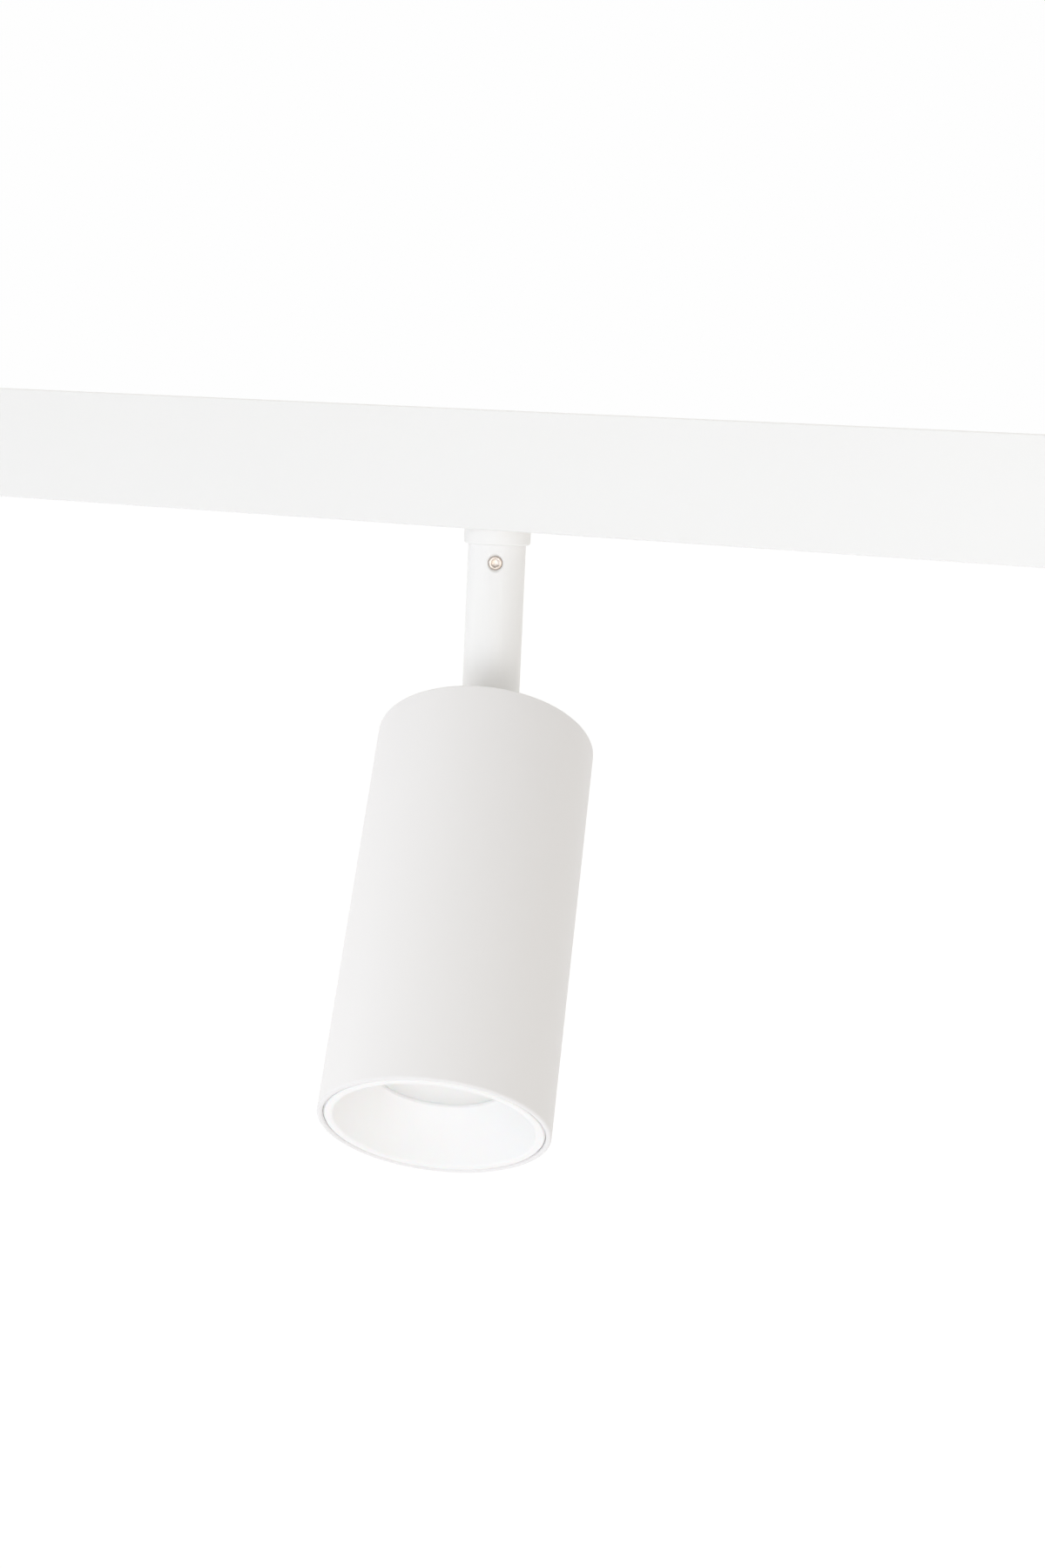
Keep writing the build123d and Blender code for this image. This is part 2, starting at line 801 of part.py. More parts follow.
def stem_knuckle():
    # A turned plug for the stem's end, milled to a tongue with an eye at the pivot.
    radius = stem_diameter / 2
    plug_top = knuckle_height + knuckle_plug
    plug = turned([
        (0, knuckle_height - knuckle_flange), (radius, knuckle_height - knuckle_flange),
        (radius, knuckle_height), (spigot_radius, knuckle_height), (spigot_radius, plug_top),
        (0, plug_top),
    ])
    web = Pos(0, (knuckle_height - knuckle_flange) / 2) * Rectangle(
        2 * spigot_radius, knuckle_height - knuckle_flange)
    tongue_face = web + Circle(tongue_eye)
    tongue = extrude(Plane.YZ * tongue_face, amount=tongue_thickness / 2, both=True)
    body = plug + tongue
    body -= Rot(0, 90, 0) * Cylinder(
        tilt_bolt_diameter / 2 + running_clearance, tongue_thickness + 2 * overshoot)
    # The lead's way through: a bore from above that leaves by a slot in the back of the tongue.
    slot_low = knuckle_height - knuckle_flange - lead_slot
    body -= rod(knuckle_bore / 2, knuckle_height, plug_top + overshoot)
    body -= block((-lead_slot / 2, lead_slot / 2), (-lead_slot / 2, radius + overshoot),
                  (slot_low, knuckle_height - knuckle_flange))
    body -= rod(lead_slot / 2, slot_low, knuckle_height + overshoot)
    return on_stem(Pos(0, 0, pivot_z) * body, head_azimuth)


# Tilt joint, drawn with the pivot at the origin and the pivot axis along X

def tilt_bolt():
    shank_end = -ear_outer_face - tilt_nut_thickness
    head_end = ear_outer_face + tilt_bolt_head_height
    bolt = turned([
        (0, shank_end), (tilt_bolt_diameter / 2, shank_end), (tilt_bolt_diameter / 2, ear_outer_face),
        (tilt_bolt_head / 2, ear_outer_face), (tilt_bolt_head / 2, head_end - tilt_bolt_edge),
        (tilt_bolt_head / 2 - tilt_bolt_edge, head_end), (0, head_end),
    ])
    bolt -= hex_rod(tilt_bolt_socket, head_end - tilt_bolt_socket_depth, head_end + overshoot)
    return on_head(Rot(0, 90, 0) * bolt)


def tilt_nut():
    nut = hex_rod(tilt_nut_flats, -ear_outer_face - tilt_nut_thickness, -ear_outer_face)
    nut -= rod(tilt_bolt_diameter / 2, -ear_outer_face - tilt_nut_thickness - overshoot, overshoot)
    return on_head(Rot(0, 90, 0) * nut)


def tilt_washers():
    washers = []
    for side in (-1, 1):
        faces = sorted((side * washer_inner_face, side * ear_inner_face))
        washer = ring(friction_washer_outer / 2, tilt_bolt_diameter / 2, *faces)
        washers.append(on_head(Rot(0, 90, 0) * washer))
    return washers


def bracket_screw_places():
    reach = bracket_length / 2 - bracket_screw_inset
    return [(0, -reach), (0, reach)]


def bracket_screw_body():
    return countersunk_screw(bracket_screw, bracket_screw_head, bracket_screw_length, bracket_top)


def head_bracket():
    # A clevis: two ears with round ends on a base plate that is screwed to the rear cap.
    ear_web = Pos(0, bracket_top / 2) * Rectangle(2 * ear_radius, -bracket_top)
    ear = Plane.YZ * (ear_web + Circle(ear_radius))
    body = Pos(0, 0, cap_top) * extrude(
        RectangleRounded(2 * (ear_outer_face + bracket_side), bracket_length, bracket_corner),
        amount=bracket_base)
    for side in (-1, 1):
        start = ear_inner_face if side > 0 else -ear_outer_face
        body += Pos(start, 0, 0) * extrude(ear, amount=ear_thickness)
    body -= Rot(0, 90, 0) * Cylinder(tilt_bolt_diameter / 2, 4 * ear_outer_face)
    for x, y in bracket_screw_places():
        body -= Pos(x, y, 0) * bracket_screw_body()
    return on_head(body)


def bracket_screws():
    screws = []
    for x, y in bracket_screw_places():
        socket = hex_rod(bracket_screw_socket, bracket_top - screw_socket_depth, bracket_top + overshoot)
        screws.append(on_head(Pos(x, y, 0) * (bracket_screw_body() - socket)))
    return screws


# Lamp head

def head_tube():
    tube = ring(head_radius, bore_radius, head_bottom, head_top)
    edges = tube.edges().filter_by(GeomType.CIRCLE)
    return on_head(fillet(edges, rim_round))


def cap_screw_places():
    return [
        (cap_screw_radius * cos(radians(angle)), cap_screw_radius * sin(radians(angle)))
        for angle in (30, 150, 270)
    ]


def rear_cap():
    disc = rod(bore_radius - rear_cap_fit, cap_under, cap_top)
    vent_middle = bore_radius - rear_cap_fit - vent_margin - vent_length / 2
    for place in range(vent_count):
        angle = 360 * place / vent_count
        x = vent_middle * cos(radians(angle))
        y = vent_middle * sin(radians(angle))
        near = [((x - a) ** 2 + (y - b) ** 2) ** 0.5 for a, b in cap_screw_places()]
        near_lead = ((x ** 2 + (y - lead_hole_y) ** 2) ** 0.5)
        if min(near) < cap_post or near_lead < lead_hole or abs(x) < vent_width:
            continue
        vent = SlotOverall(vent_length, vent_width, rotation=angle)
        disc -= Pos(x, y, cap_under) * extrude(vent, amount=rear_cap_thickness)
    for x, y in cap_screw_places():
        disc += rod(cap_post / 2, heat_sink_top, cap_under, x, y)
        disc -= rod(cap_screw / 2, heat_sink_top - overshoot, cap_top + overshoot, x, y)
    disc -= rod(lead_hole / 2, cap_under - overshoot, cap_top + overshoot, 0, lead_hole_y)
    for x, y in bracket_screw_places():
        disc -= Pos(x, y, 0) * bracket_screw_body()
    return on_head(disc)


def cap_screws():
    screws = []
    for x, y in cap_screw_places():
        head_face = cap_top + cap_screw_head_height
        screw = rod(cap_screw / 2, heat_sink_top - cap_screw_bite, cap_top)
        screw += rod(cap_screw_head / 2, cap_top, head_face)
        socket = hex_rod(cap_screw_socket, head_face - screw_socket_depth, head_face + overshoot)
        screws.append(on_head(Pos(x, y, 0) * (screw - socket)))
    return screws


def lead_grommet():
    bore = lead_grommet_bore / 2
    neck = lead_hole / 2
    flange = lead_flange_radius
    low = cap_under - lead_grommet_lip
    high = cap_top + lead_grommet_lip
    profile = [
        (bore, low), (flange, low), (flange, cap_under), (neck, cap_under),
        (neck, cap_top), (flange, cap_top), (flange, high), (bore, high),
    ]
    return on_head(Pos(0, lead_hole_y, 0) * turned(profile))


def heat_sink():
    # Radial fins round a core, on the thick base that the light source is bolted to.
    outer = bore_radius - heat_sink_fit
    section = Circle(heat_sink_core)
    fin = Pos(outer / 2, 0) * Rectangle(outer, fin_thickness)
    for place in range(fin_count):
        section += Rot(0, 0, 360 * place / fin_count) * fin
    fins = Pos(0, 0, heat_sink_under) * extrude(section, amount=heat_sink_top - heat_sink_under)
    body = fins & rod(outer, heat_sink_under, heat_sink_top)
    body += rod(outer, heat_sink_under, heat_sink_under + heat_sink_base)
    for x, y in cap_screw_places():
        body += rod(cap_post / 2, heat_sink_under, heat_sink_top, x, y)
        body -= rod(cap_screw / 2, heat_sink_top - cap_screw_bite, heat_sink_top + overshoot, x, y)
    for x, y in holder_screw_places():
        body -= rod(holder_screw / 2, heat_sink_under - overshoot,
                    heat_sink_under + holder_screw_bite, x, y)
    return on_head(body)


def holder_screw_places():
    return [(holder_screw_circle, 0), (-holder_screw_circle, 0)]


def thermal_pad():
    return on_head(rod(thermal_pad_diameter / 2, board_top, heat_sink_under))


def led_board():
    return on_head(rod(led_board_diameter / 2, board_under, board_top))


def led_emitter():
    return on_head(rod(emitter_diameter / 2, emitter_under, board_under))


def led_holder():
    # A moulded ring that clamps the board to the heat sink, cupped over the board's edge.
    low = holder_under
    outer = holder_diameter / 2
    inner = led_board_diameter / 2 + rear_cap_fit
    body = turned([
        (holder_bore / 2, low), (outer, low), (outer, heat_sink_under), (inner, heat_sink_under),
        (inner, board_under), (holder_bore / 2, board_under),
    ])
    for x, y in holder_screw_places():
        body -= rod(holder_screw / 2, low - overshoot, heat_sink_under + overshoot, x, y)
    return on_head(body)


def holder_screws():
    screws = []
    low = holder_under
    for x, y in holder_screw_places():
        screw = rod(holder_screw / 2, low, heat_sink_under + holder_screw_bite)
        screw += rod(holder_screw_head / 2, low - holder_screw_head_height, low)
        screws.append(on_head(Pos(x, y, 0) * screw))
    return screws


def inner_reflector():
    # A bowl that widens from the light source to the lens, with a flange on the gasket.
    belly = reflector_top - reflector_belly_depth
    inner = ThreePointArc((reflector_throat, reflector_top), (reflector_belly, belly),
                          (reflector_mouth, reflector_under))
    outer = ThreePointArc((reflector_throat + reflector_wall, reflector_top),
                          (reflector_belly + reflector_wall, belly),
                          (reflector_mouth + reflector_wall, reflector_under + reflector_wall))
    rim = Polyline(
        outer @ 1, (lens_radius, reflector_under + reflector_wall),
        (lens_radius, reflector_under), inner @ 1)
    face = make_face([inner, outer, rim, Line(inner @ 0, outer @ 0)])
    return on_head(revolve(Plane.XZ * face, axis=Axis.Z))


def lens():
    return on_head(rod(lens_radius, lens_under, gasket_under))


def lens_gasket():
    return on_head(ring(lens_radius, aperture_radius, gasket_under, reflector_under))


def baffle():
    # The white cone at the mouth, with its lip ring, the lens seat behind it and a long skirt.
    lip_inner = baffle_outer - baffle_lip
    slope = (lip_inner - aperture_radius) / baffle_depth
    thickness = baffle_wall * (1 + slope ** 2) ** 0.5
    skirt_inner = baffle_outer - baffle_wall
    cup_outer = lens_pocket + baffle_wall
    cup_top = reflector_under + reflector_wall

    def cone_back(radius):
        return baffle_face + (lip_inner + thickness - radius) / slope

    body = turned([
        (baffle_outer, baffle_face), (lip_inner, baffle_face),
        (aperture_radius, baffle_face + baffle_depth), (aperture_radius, lens_under),
        (lens_pocket, lens_under), (lens_pocket, cup_top), (cup_outer, cup_top),
        (cup_outer, cone_back(cup_outer)), (skirt_inner, cone_back(skirt_inner)),
        (skirt_inner, baffle_face + baffle_skirt), (baffle_outer, baffle_face + baffle_skirt),
    ])
    lip_edges = [
        edge for edge in body.edges().filter_by(GeomType.CIRCLE)
        if abs(edge.center().Z - baffle_face) < 0.01
    ]
    return on_head(fillet(lip_edges, baffle_edge))


def save(name, shapes):
    solids = shapes if isinstance(shapes, list) else [shapes]
    whole = [solid for shape in solids for solid in shape.solids()]
    export_step(Compound(children=whole) if len(whole) > 1 else whole[0], f"parts/{name}.step")


rear_insulator = insulator()
pieces = {
    "track_profile": track_profile(),
    "insulator_rear": rear_insulator,
    "insulator_front": mirror(rear_insulator, about=Plane.XZ),
    "copper_conductors": copper_conductors(),
    "earth_strip": earth_strip(),
    "feed_housing": feed_housing(),
    "feed_cover": feed_cover(),
    "feed_contacts": feed_contacts(),
    "feed_terminal_block": feed_terminal_block(),
    "feed_terminal_screws": feed_terminal_screws(),
    "cable_grommet": cable_grommet(),
    "end_cap": end_cap(),
    "adapter_housing": adapter_housing(),
    "adapter_cover": adapter_cover(),
    "adapter_cover_screws": adapter_cover_screws(),
    "driver_board": driver_board(),
    "driver_components": driver_components(),
    "earth_spring": earth_spring(),
    "pan_washer_upper": pan_washer_upper(),
    "pan_washer_lower": pan_washer_lower(),
    "lock_lever_left": lock_lever(lock_places[0]),
    "lock_wing_left": lock_wing(lock_places[0]),
    "lock_lever_right": lock_lever(lock_places[1]),
    "lock_wing_right": lock_wing(lock_places[1]),
    "contact_drum": contact_drum(),
    "contact_blades": contact_blades(),
    "pan_nipple": pan_nipple(),
    "pan_stop_washer": pan_stop_washer(),
    "pan_nut": pan_nut(),
    "collar": collar(),
    "stem_tube": stem_tube(),
    "set_screw": set_screw(),
    "stem_knuckle": stem_knuckle(),
    "tilt_bolt": tilt_bolt(),
    "tilt_nut": tilt_nut(),
    "tilt_washers": tilt_washers(),
    "head_bracket": head_bracket(),
    "bracket_screws": bracket_screws(),
    "head_tube": head_tube(),
    "rear_cap": rear_cap(),
    "cap_screws": cap_screws(),
    "lead_grommet": lead_grommet(),
    "heat_sink": heat_sink(),
    "thermal_pad": thermal_pad(),
    "led_board": led_board(),
    "led_emitter": led_emitter(),
    "led_holder": led_holder(),
    "holder_screws": holder_screws(),
    "inner_reflector": inner_reflector(),
    "lens": lens(),
    "lens_gasket": lens_gasket(),
    "baffle": baffle(),
}
for name, shapes in pieces.items():
    save(name, shapes)
print(len(pieces), "pieces written")
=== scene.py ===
import json
import math
import bmesh
import bpy
from mathutils import Matrix, Vector


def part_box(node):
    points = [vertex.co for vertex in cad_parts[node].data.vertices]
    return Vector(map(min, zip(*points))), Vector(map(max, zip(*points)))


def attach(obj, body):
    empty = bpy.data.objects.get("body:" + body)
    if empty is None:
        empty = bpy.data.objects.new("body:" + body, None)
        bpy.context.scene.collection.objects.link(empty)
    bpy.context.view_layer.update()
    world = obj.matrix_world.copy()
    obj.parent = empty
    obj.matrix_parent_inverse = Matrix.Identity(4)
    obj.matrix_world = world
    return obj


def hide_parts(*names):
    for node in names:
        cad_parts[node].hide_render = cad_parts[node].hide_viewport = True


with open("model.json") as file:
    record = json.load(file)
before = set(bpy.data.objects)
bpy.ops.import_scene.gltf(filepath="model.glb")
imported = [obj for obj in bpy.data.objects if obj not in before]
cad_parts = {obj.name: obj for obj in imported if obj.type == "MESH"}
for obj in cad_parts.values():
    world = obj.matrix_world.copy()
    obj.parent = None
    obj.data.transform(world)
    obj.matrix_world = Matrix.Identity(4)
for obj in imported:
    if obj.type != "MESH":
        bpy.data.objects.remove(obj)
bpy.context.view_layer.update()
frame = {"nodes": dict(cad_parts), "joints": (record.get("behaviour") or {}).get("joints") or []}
nodes = frame["nodes"]
joints = {joint["name"]: joint for joint in frame["joints"]}
mm = 0.001
weldGap = 0.001 * mm            # points closer than this are merged
smoothAngle = 32                # degrees, sharper edges stay sharp
mixA, mixB, mixed = 6, 7, 2     # a Mix node's two colour inputs and its colour output
print("frame loaded,", len(nodes), "nodes")


# Small helpers

def linear(hexCode):
    # sRGB hex to the linear values that the colour sockets take
    parts = [int(hexCode[n:n + 2], 16) / 255 for n in (1, 3, 5)]
    return [p / 12.92 if p <= 0.04045 else ((p + 0.055) / 1.055) ** 2.4 for p in parts] + [1.0]


def perMetre(size):
    # texture scale for a feature of so many millimetres
    return 1000 / size


def addNode(tree, kind, settings={}, inputs={}):
    # one shader node, its own settings, and its inputs as values or as links from other nodes
    node = tree.nodes.new("ShaderNode" + kind)
    for name, value in settings.items():
        setattr(node, name, value)
    for name, value in inputs.items():
        if isinstance(value, bpy.types.NodeSocket):
            tree.links.new(value, node.inputs[name])
        else:
            node.inputs[name].default_value = value
    return node


def newMaterial(name, **shaderValues):
    # an empty tree with a Principled shader, whose even values sit on its own sockets
    material = bpy.data.materials.new(name)
    material.use_nodes = True
    tree = material.node_tree
    tree.nodes.clear()
    shader = addNode(tree, "BsdfPrincipled")
    for socket, value in shaderValues.items():
        shader.inputs[socket.replace("_", " ")].default_value = value
    output = addNode(tree, "OutputMaterial")
    tree.links.new(shader.outputs["BSDF"], output.inputs["Surface"])
    coords = addNode(tree, "TexCoord").outputs["Object"]
    return material, tree, shader, coords


def radialSpan(node, place=Matrix()):
    # inner and outer radius, lowest and highest point of a CAD node about its place's own Z axis
    inward = place.inverted()
    points = [inward @ vertex.co for vertex in nodes[node].data.vertices]
    radii = [math.hypot(point.x, point.y) for point in points]
    heights = [point.z for point in points]
    return min(radii), max(radii), min(heights), max(heights)


flatAngle = 0.4   # degrees between CAD triangles that belong to one flat face


def mergedCopy(node):
    # the node's triangles joined up, and its flat faces made whole again
    work = bmesh.new()
    work.from_mesh(nodes[node].data)
    bmesh.ops.remove_doubles(work, verts=work.verts, dist=2 * weldGap)
    bmesh.ops.dissolve_limit(work, angle_limit=math.radians(flatAngle), verts=work.verts, edges=work.edges)
    return work


def solidBoxes(node, place):
    # the local boxes of a node's separate solids, for pieces that come in sets
    inward = place.inverted()
    work = mergedCopy(node)
    left = set(work.verts)
    boxes = []
    while left:
        reached = [left.pop()]
        for vert in reached:
            for edge in vert.link_edges:
                other = edge.other_vert(vert)
                if other in left:
                    left.remove(other)
                    reached.append(other)
        points = [inward @ vert.co for vert in reached]
        low = Vector([min(point[axis] for point in points) for axis in range(3)])
        high = Vector([max(point[axis] for point in points) for axis in range(3)])
        boxes.append((low, high))
    work.free()
    return boxes


def spun(corners, steps=128, segments=5):
    # turns a closed outline of (radius, height, rounding) corners about Z
    work = bmesh.new()
    outline = [work.verts.new((radius, 0, height)) for radius, height, rounding in corners]
    work.faces.new(outline)
    rounded = {}
    for vert, (radius, height, rounding) in zip(outline, corners):
        rounded.setdefault(rounding, []).append(vert)
    for rounding, verts in rounded.items():
        if rounding > 0:
            bmesh.ops.bevel(work, geom=verts, offset=rounding, offset_type="OFFSET",
                            affect="VERTICES", segments=segments, profile=0.5, material=-1)
    bmesh.ops.delete(work, geom=work.faces[:], context="FACES_ONLY")
    spinRound(work, steps)
    return work


def spinRound(work, steps):
    bmesh.ops.spin(work, geom=work.verts[:] + work.edges[:], cent=(0, 0, 0), axis=(0, 0, 1),
                   angle=2 * math.pi, steps=steps, use_merge=True)
    bmesh.ops.remove_doubles(work, verts=work.verts, dist=weldGap)
    loose = [edge for edge in work.edges if not edge.link_faces]
    bmesh.ops.delete(work, geom=loose, context="EDGES")
    bmesh.ops.recalc_face_normals(work, faces=work.faces)


screwSteps = 48
socketShape = {
    "leadIn": 0.06,       # depth of the cone above the hexagon, as a share of the flats
    "drillPoint": 0.3,    # depth of the pit under the hexagon, as a share of its corner radius
}


def socketMouth(form):
    # radius of the round mouth in which a hexagon socket starts
    return form["flats"] / math.sqrt(3) * form["mouth"]


def socketScrew(profile, form):
    # spins an open profile, from the middle of the point to the mouth of the socket, then sinks
    # the hexagon
    work = bmesh.new()
    line = [work.verts.new((radius, 0, height)) for radius, height in profile]
    for start, end in zip(line, line[1:]):
        work.edges.new((start, end))
    spinRound(work, screwSteps)
    mouth = [edge for edge in work.edges if edge.is_boundary]
    corner = form["flats"] / math.sqrt(3)
    lower = profile[-1][1] - socketShape["leadIn"] * form["flats"]
    bmesh.ops.create_circle(work, segments=6, radius=corner, matrix=Matrix.Translation((0, 0, lower)))
    sides = [edge for edge in work.edges if edge.is_wire]
    bmesh.ops.subdivide_edges(work, edges=sides, cuts=screwSteps // 6 - 1)
    sides = [edge for edge in work.edges if edge.is_wire]
    bmesh.ops.bridge_loops(work, edges=mouth + sides)
    walls = bmesh.ops.extrude_edge_only(work, edges=sides)
    sunk = [item for item in walls["geom"] if isinstance(item, bmesh.types.BMVert)]
    bmesh.ops.translate(work, verts=sunk, vec=(0, 0, -form["socketDepth"]))
    floor = [edge for edge in work.edges if edge.is_boundary]
    base = bmesh.ops.contextual_create(work, geom=floor)["faces"]
    pit = bmesh.ops.poke(work, faces=base)["verts"]   # the drill's cone under the hexagon
    bmesh.ops.translate(work, verts=pit, vec=(0, 0, -socketShape["drillPoint"] * corner))
    bmesh.ops.recalc_face_normals(work, faces=work.faces)
    return work


def joined(pieces):
    # several bmeshes as one
    whole = bmesh.new()
    for piece in pieces:
        mesh = bpy.data.meshes.new("part")
        piece.to_mesh(mesh)
        piece.free()
        whole.from_mesh(mesh)
        bpy.data.meshes.remove(mesh)
    return whole


def moved(work, place):
    # from the place's own axes to the object's
    bmesh.ops.transform(work, matrix=place, verts=work.verts)
    return work


def finishPiece(name, work, body, hides, materials, edge=0.0):
    # makes the object, lets it ride on its body and stand for its CAD nodes; edge is in millimetres
    mesh = bpy.data.meshes.new(name)
    work.to_mesh(mesh)
    work.free()
    mesh.shade_smooth()
    mesh.set_sharp_from_angle(angle=math.radians(smoothAngle))
    for material in materials:
        mesh.materials.append(material)
    piece = bpy.data.objects.new(name, mesh)
    bpy.context.scene.collection.objects.link(piece)
    if edge > 0:
        bevel = piece.modifiers.new("broken edges", "BEVEL")
        bevel.width = edge * mm
        bevel.segments = 2
        bevel.limit_method = "ANGLE"
        bevel.angle_limit = math.radians(smoothAngle)
        bevel.harden_normals = True
        bevel.miter_outer = "MITER_ARC"
    else:
        weighted = piece.modifiers.new("flat faces stay flat", "WEIGHTED_NORMAL")
        weighted.keep_sharp = True
    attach(piece, body)
    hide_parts(*hides)
    return piece


def dress(material, *names):
    # gives a material to CAD nodes that are shown as they are
    for name in names:
        for slot in nodes[name].material_slots:
            slot.material = material


# Where the lamp head and the set screw are

tilt = joints["tilt"]
headTurn = math.atan2(-tilt["axis"][1], -tilt["axis"][0])
headPlace = (Matrix.Translation(tilt["pos_m"]) @ Matrix.Rotation(headTurn, 4, "Z")
             @ Matrix.Rotation(math.radians(tilt["range_deg"][0]), 4, "X"))
boltPlace = headPlace @ Matrix.Rotation(math.radians(90), 4, "Y")
screwLow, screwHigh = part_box("set_screw")
screwMiddle = (screwLow + screwHigh) / 2
screwTurn = math.atan2(screwMiddle.x, -screwMiddle.y)
screwPlace = (Matrix.Translation((0, 0, screwMiddle.z)) @ Matrix.Rotation(screwTurn, 4, "Z")
              @ Matrix.Rotation(math.radians(90), 4, "X"))


# Camera, room and light

cameraSetup = {
    "place": (0.2961, -0.5913, -0.0015),
    "yaw": -25.73,
    "pitch": -8.77,
    "roll": 2.61,
    "lens": 54.6,
}


def makeCamera():
    yaw, pitch, roll = (math.radians(cameraSetup[key]) for key in ("yaw", "pitch", "roll"))
    forward = Vector((math.sin(yaw) * math.cos(pitch), math.cos(yaw) * math.cos(pitch), math.sin(pitch)))
    right = Vector((math.cos(yaw), -math.sin(yaw), 0))
    up = right.cross(forward)
    rightRolled = math.cos(roll) * right + math.sin(roll) * up
    upRolled = -math.sin(roll) * right + math.cos(roll) * up
    turn = Matrix((rightRolled, upRolled, -forward)).transposed().to_4x4()
    camera = bpy.data.objects.new("camera", bpy.data.cameras.new("camera"))
    camera.data.lens = cameraSetup["lens"]
    camera.data.sensor_width = 36
    camera.data.clip_start = 0.01
    camera.matrix_world = Matrix.Translation(cameraSetup["place"]) @ turn
    bpy.context.scene.collection.objects.link(camera)
    bpy.context.scene.camera = camera


lightSetup = {
    "background": 0.991,            # what the eye sees behind the lamp, 1 is white
    "level": 0.825,                 # how brightly the room lights the lamp
    "slope": (-0.39, 0.33, 0.25),   # the room is brighter on the left, behind and overhead
    "tint": "#FFFEF9",
    "softboxSize": 0.9,
    "aim": (0, 0, -0.12),
    "softboxes": {
        # name: place in metres, watts, colour
        "frontBox": ((0.12, -1.35, -0.2), 4.85, "#E3EFFF"),
        "leftBox": ((-1.2, -0.5, -0.15), 1.45, "#EFF2FF"),
        "rightBox": ((0.9, -0.9, -0.3), 2.3, "#FFF1DE"),
    },
    "floorHeight": -1.6,
    "floorReach": 30,
    "floorPaint": "#F5F6FA",
    "floorLift": 0.11,
}


def lookFrom(tree):
    # 1 for what is seen straight, in a reflection or through glass
    path = addNode(tree, "LightPath")
    shown = addNode(tree, "Math", {"operation": "MAXIMUM"},
                    {0: path.outputs["Is Camera Ray"], 1: path.outputs["Is Glossy Ray"]})
    shown = addNode(tree, "Math", {"operation": "MAXIMUM"},
                    {0: shown.outputs[0], 1: path.outputs["Is Transmission Ray"]})
    return shown.outputs[0]


def makeWorld():
    # a white room, a little brighter on one side
    world = bpy.data.worlds.new("white room")
    world.use_nodes = True
    tree = world.node_tree
    tree.nodes.clear()
    direction = addNode(tree, "TexCoord").outputs["Generated"]
    lean = addNode(tree, "VectorMath", {"operation": "DOT_PRODUCT"},
                   {0: direction, 1: lightSetup["slope"]})
    strength = addNode(tree, "Math", {"operation": "ADD"},
                       {0: lean.outputs["Value"], 1: lightSetup["level"]})
    light = addNode(tree, "Background", {},
                    {"Color": linear(lightSetup["tint"]), "Strength": strength.outputs[0]})
    backdrop = addNode(tree, "Background", {}, {"Color": (1, 1, 1, 1), "Strength": lightSetup["background"]})
    mix = addNode(tree, "MixShader", {}, {0: lookFrom(tree), 1: light.outputs[0], 2: backdrop.outputs[0]})
    addNode(tree, "OutputWorld", {}, {"Surface": mix.outputs[0]})
    bpy.context.scene.world = world


def makeSoftboxes():
    # three large soft boxes, in front of the lamp and at both sides
    for name, (place, power, colour) in lightSetup["softboxes"].items():
        lamp = bpy.data.lights.new(name, "AREA")
        lamp.size = lightSetup["softboxSize"]
        lamp.energy = power
        lamp.color = linear(colour)[:3]
        light = bpy.data.objects.new(name, lamp)
        towards = Vector(lightSetup["aim"]) - Vector(place)
        turn = towards.to_track_quat("-Z", "Y").to_matrix().to_4x4()
        light.matrix_world = Matrix.Translation(place) @ turn
        light.visible_camera = False
        bpy.context.scene.collection.objects.link(light)


def makeFloor():
    # matt white paint, lifted to the background's white where it is looked at, less where it is shaded
    work = bmesh.new()
    bmesh.ops.create_grid(work, x_segments=8, y_segments=8, size=lightSetup["floorReach"],
                          matrix=Matrix.Translation((0, 0, lightSetup["floorHeight"])))
    mesh = bpy.data.meshes.new("floor")
    work.to_mesh(mesh)
    work.free()
    material = bpy.data.materials.new("matt white floor")
    material.use_nodes = True
    tree = material.node_tree
    tree.nodes.clear()
    paint = addNode(tree, "BsdfDiffuse", {}, {"Color": linear(lightSetup["floorPaint"])})
    lift = addNode(tree, "Math", {"operation": "MULTIPLY"}, {0: lookFrom(tree), 1: lightSetup["floorLift"]})
    glow = addNode(tree, "Emission", {}, {"Strength": lift.outputs[0]})
    both = addNode(tree, "AddShader", {}, {0: paint.outputs[0], 1: glow.outputs[0]})
    addNode(tree, "OutputMaterial", {}, {"Surface": both.outputs[0]})
    mesh.materials.append(material)
    floor = bpy.data.objects.new("floor", mesh)
    bpy.context.scene.collection.objects.link(floor)


bpy.context.scene.view_settings.view_transform = "Standard"
makeCamera()
makeWorld()
makeSoftboxes()
makeFloor()
print("camera, room and light made")


# Materials

def powderCoat(name, dark, light):
    # Polyester powder baked on aluminium, satin: a soft even sheen with a faint orange peel.
    material, tree, shader, coords = newMaterial(name, Roughness=0.46, IOR=1.5)
    cloudy = addNode(tree, "TexNoise", {}, {"Vector": coords, "Scale": perMetre(45), "Detail": 2})
    colour = addNode(tree, "Mix", {"data_type": "RGBA"},
                     {"Factor": cloudy.outputs["Fac"], mixA: linear(dark), mixB: linear(light)})
    tree.links.new(colour.outputs[mixed], shader.inputs["Base Color"])
    # orange peel is about 1 mm from crest to crest and a few microns deep
    peel = addNode(tree, "TexNoise", {}, {"Vector": coords, "Scale": perMetre(1.1), "Detail": 3})
    sheen = addNode(tree, "MapRange", {}, {"Value": peel.outputs["Fac"], "To Min": 0.41, "To Max": 0.52})
    tree.links.new(sheen.outputs[0], shader.inputs["Roughness"])
    bump = addNode(tree, "Bump", {}, {"Height": peel.outputs["Fac"], "Strength": 0.35, "Distance": 0.03 * mm})
    tree.links.new(bump.outputs[0], shader.inputs["Normal"])
    return material


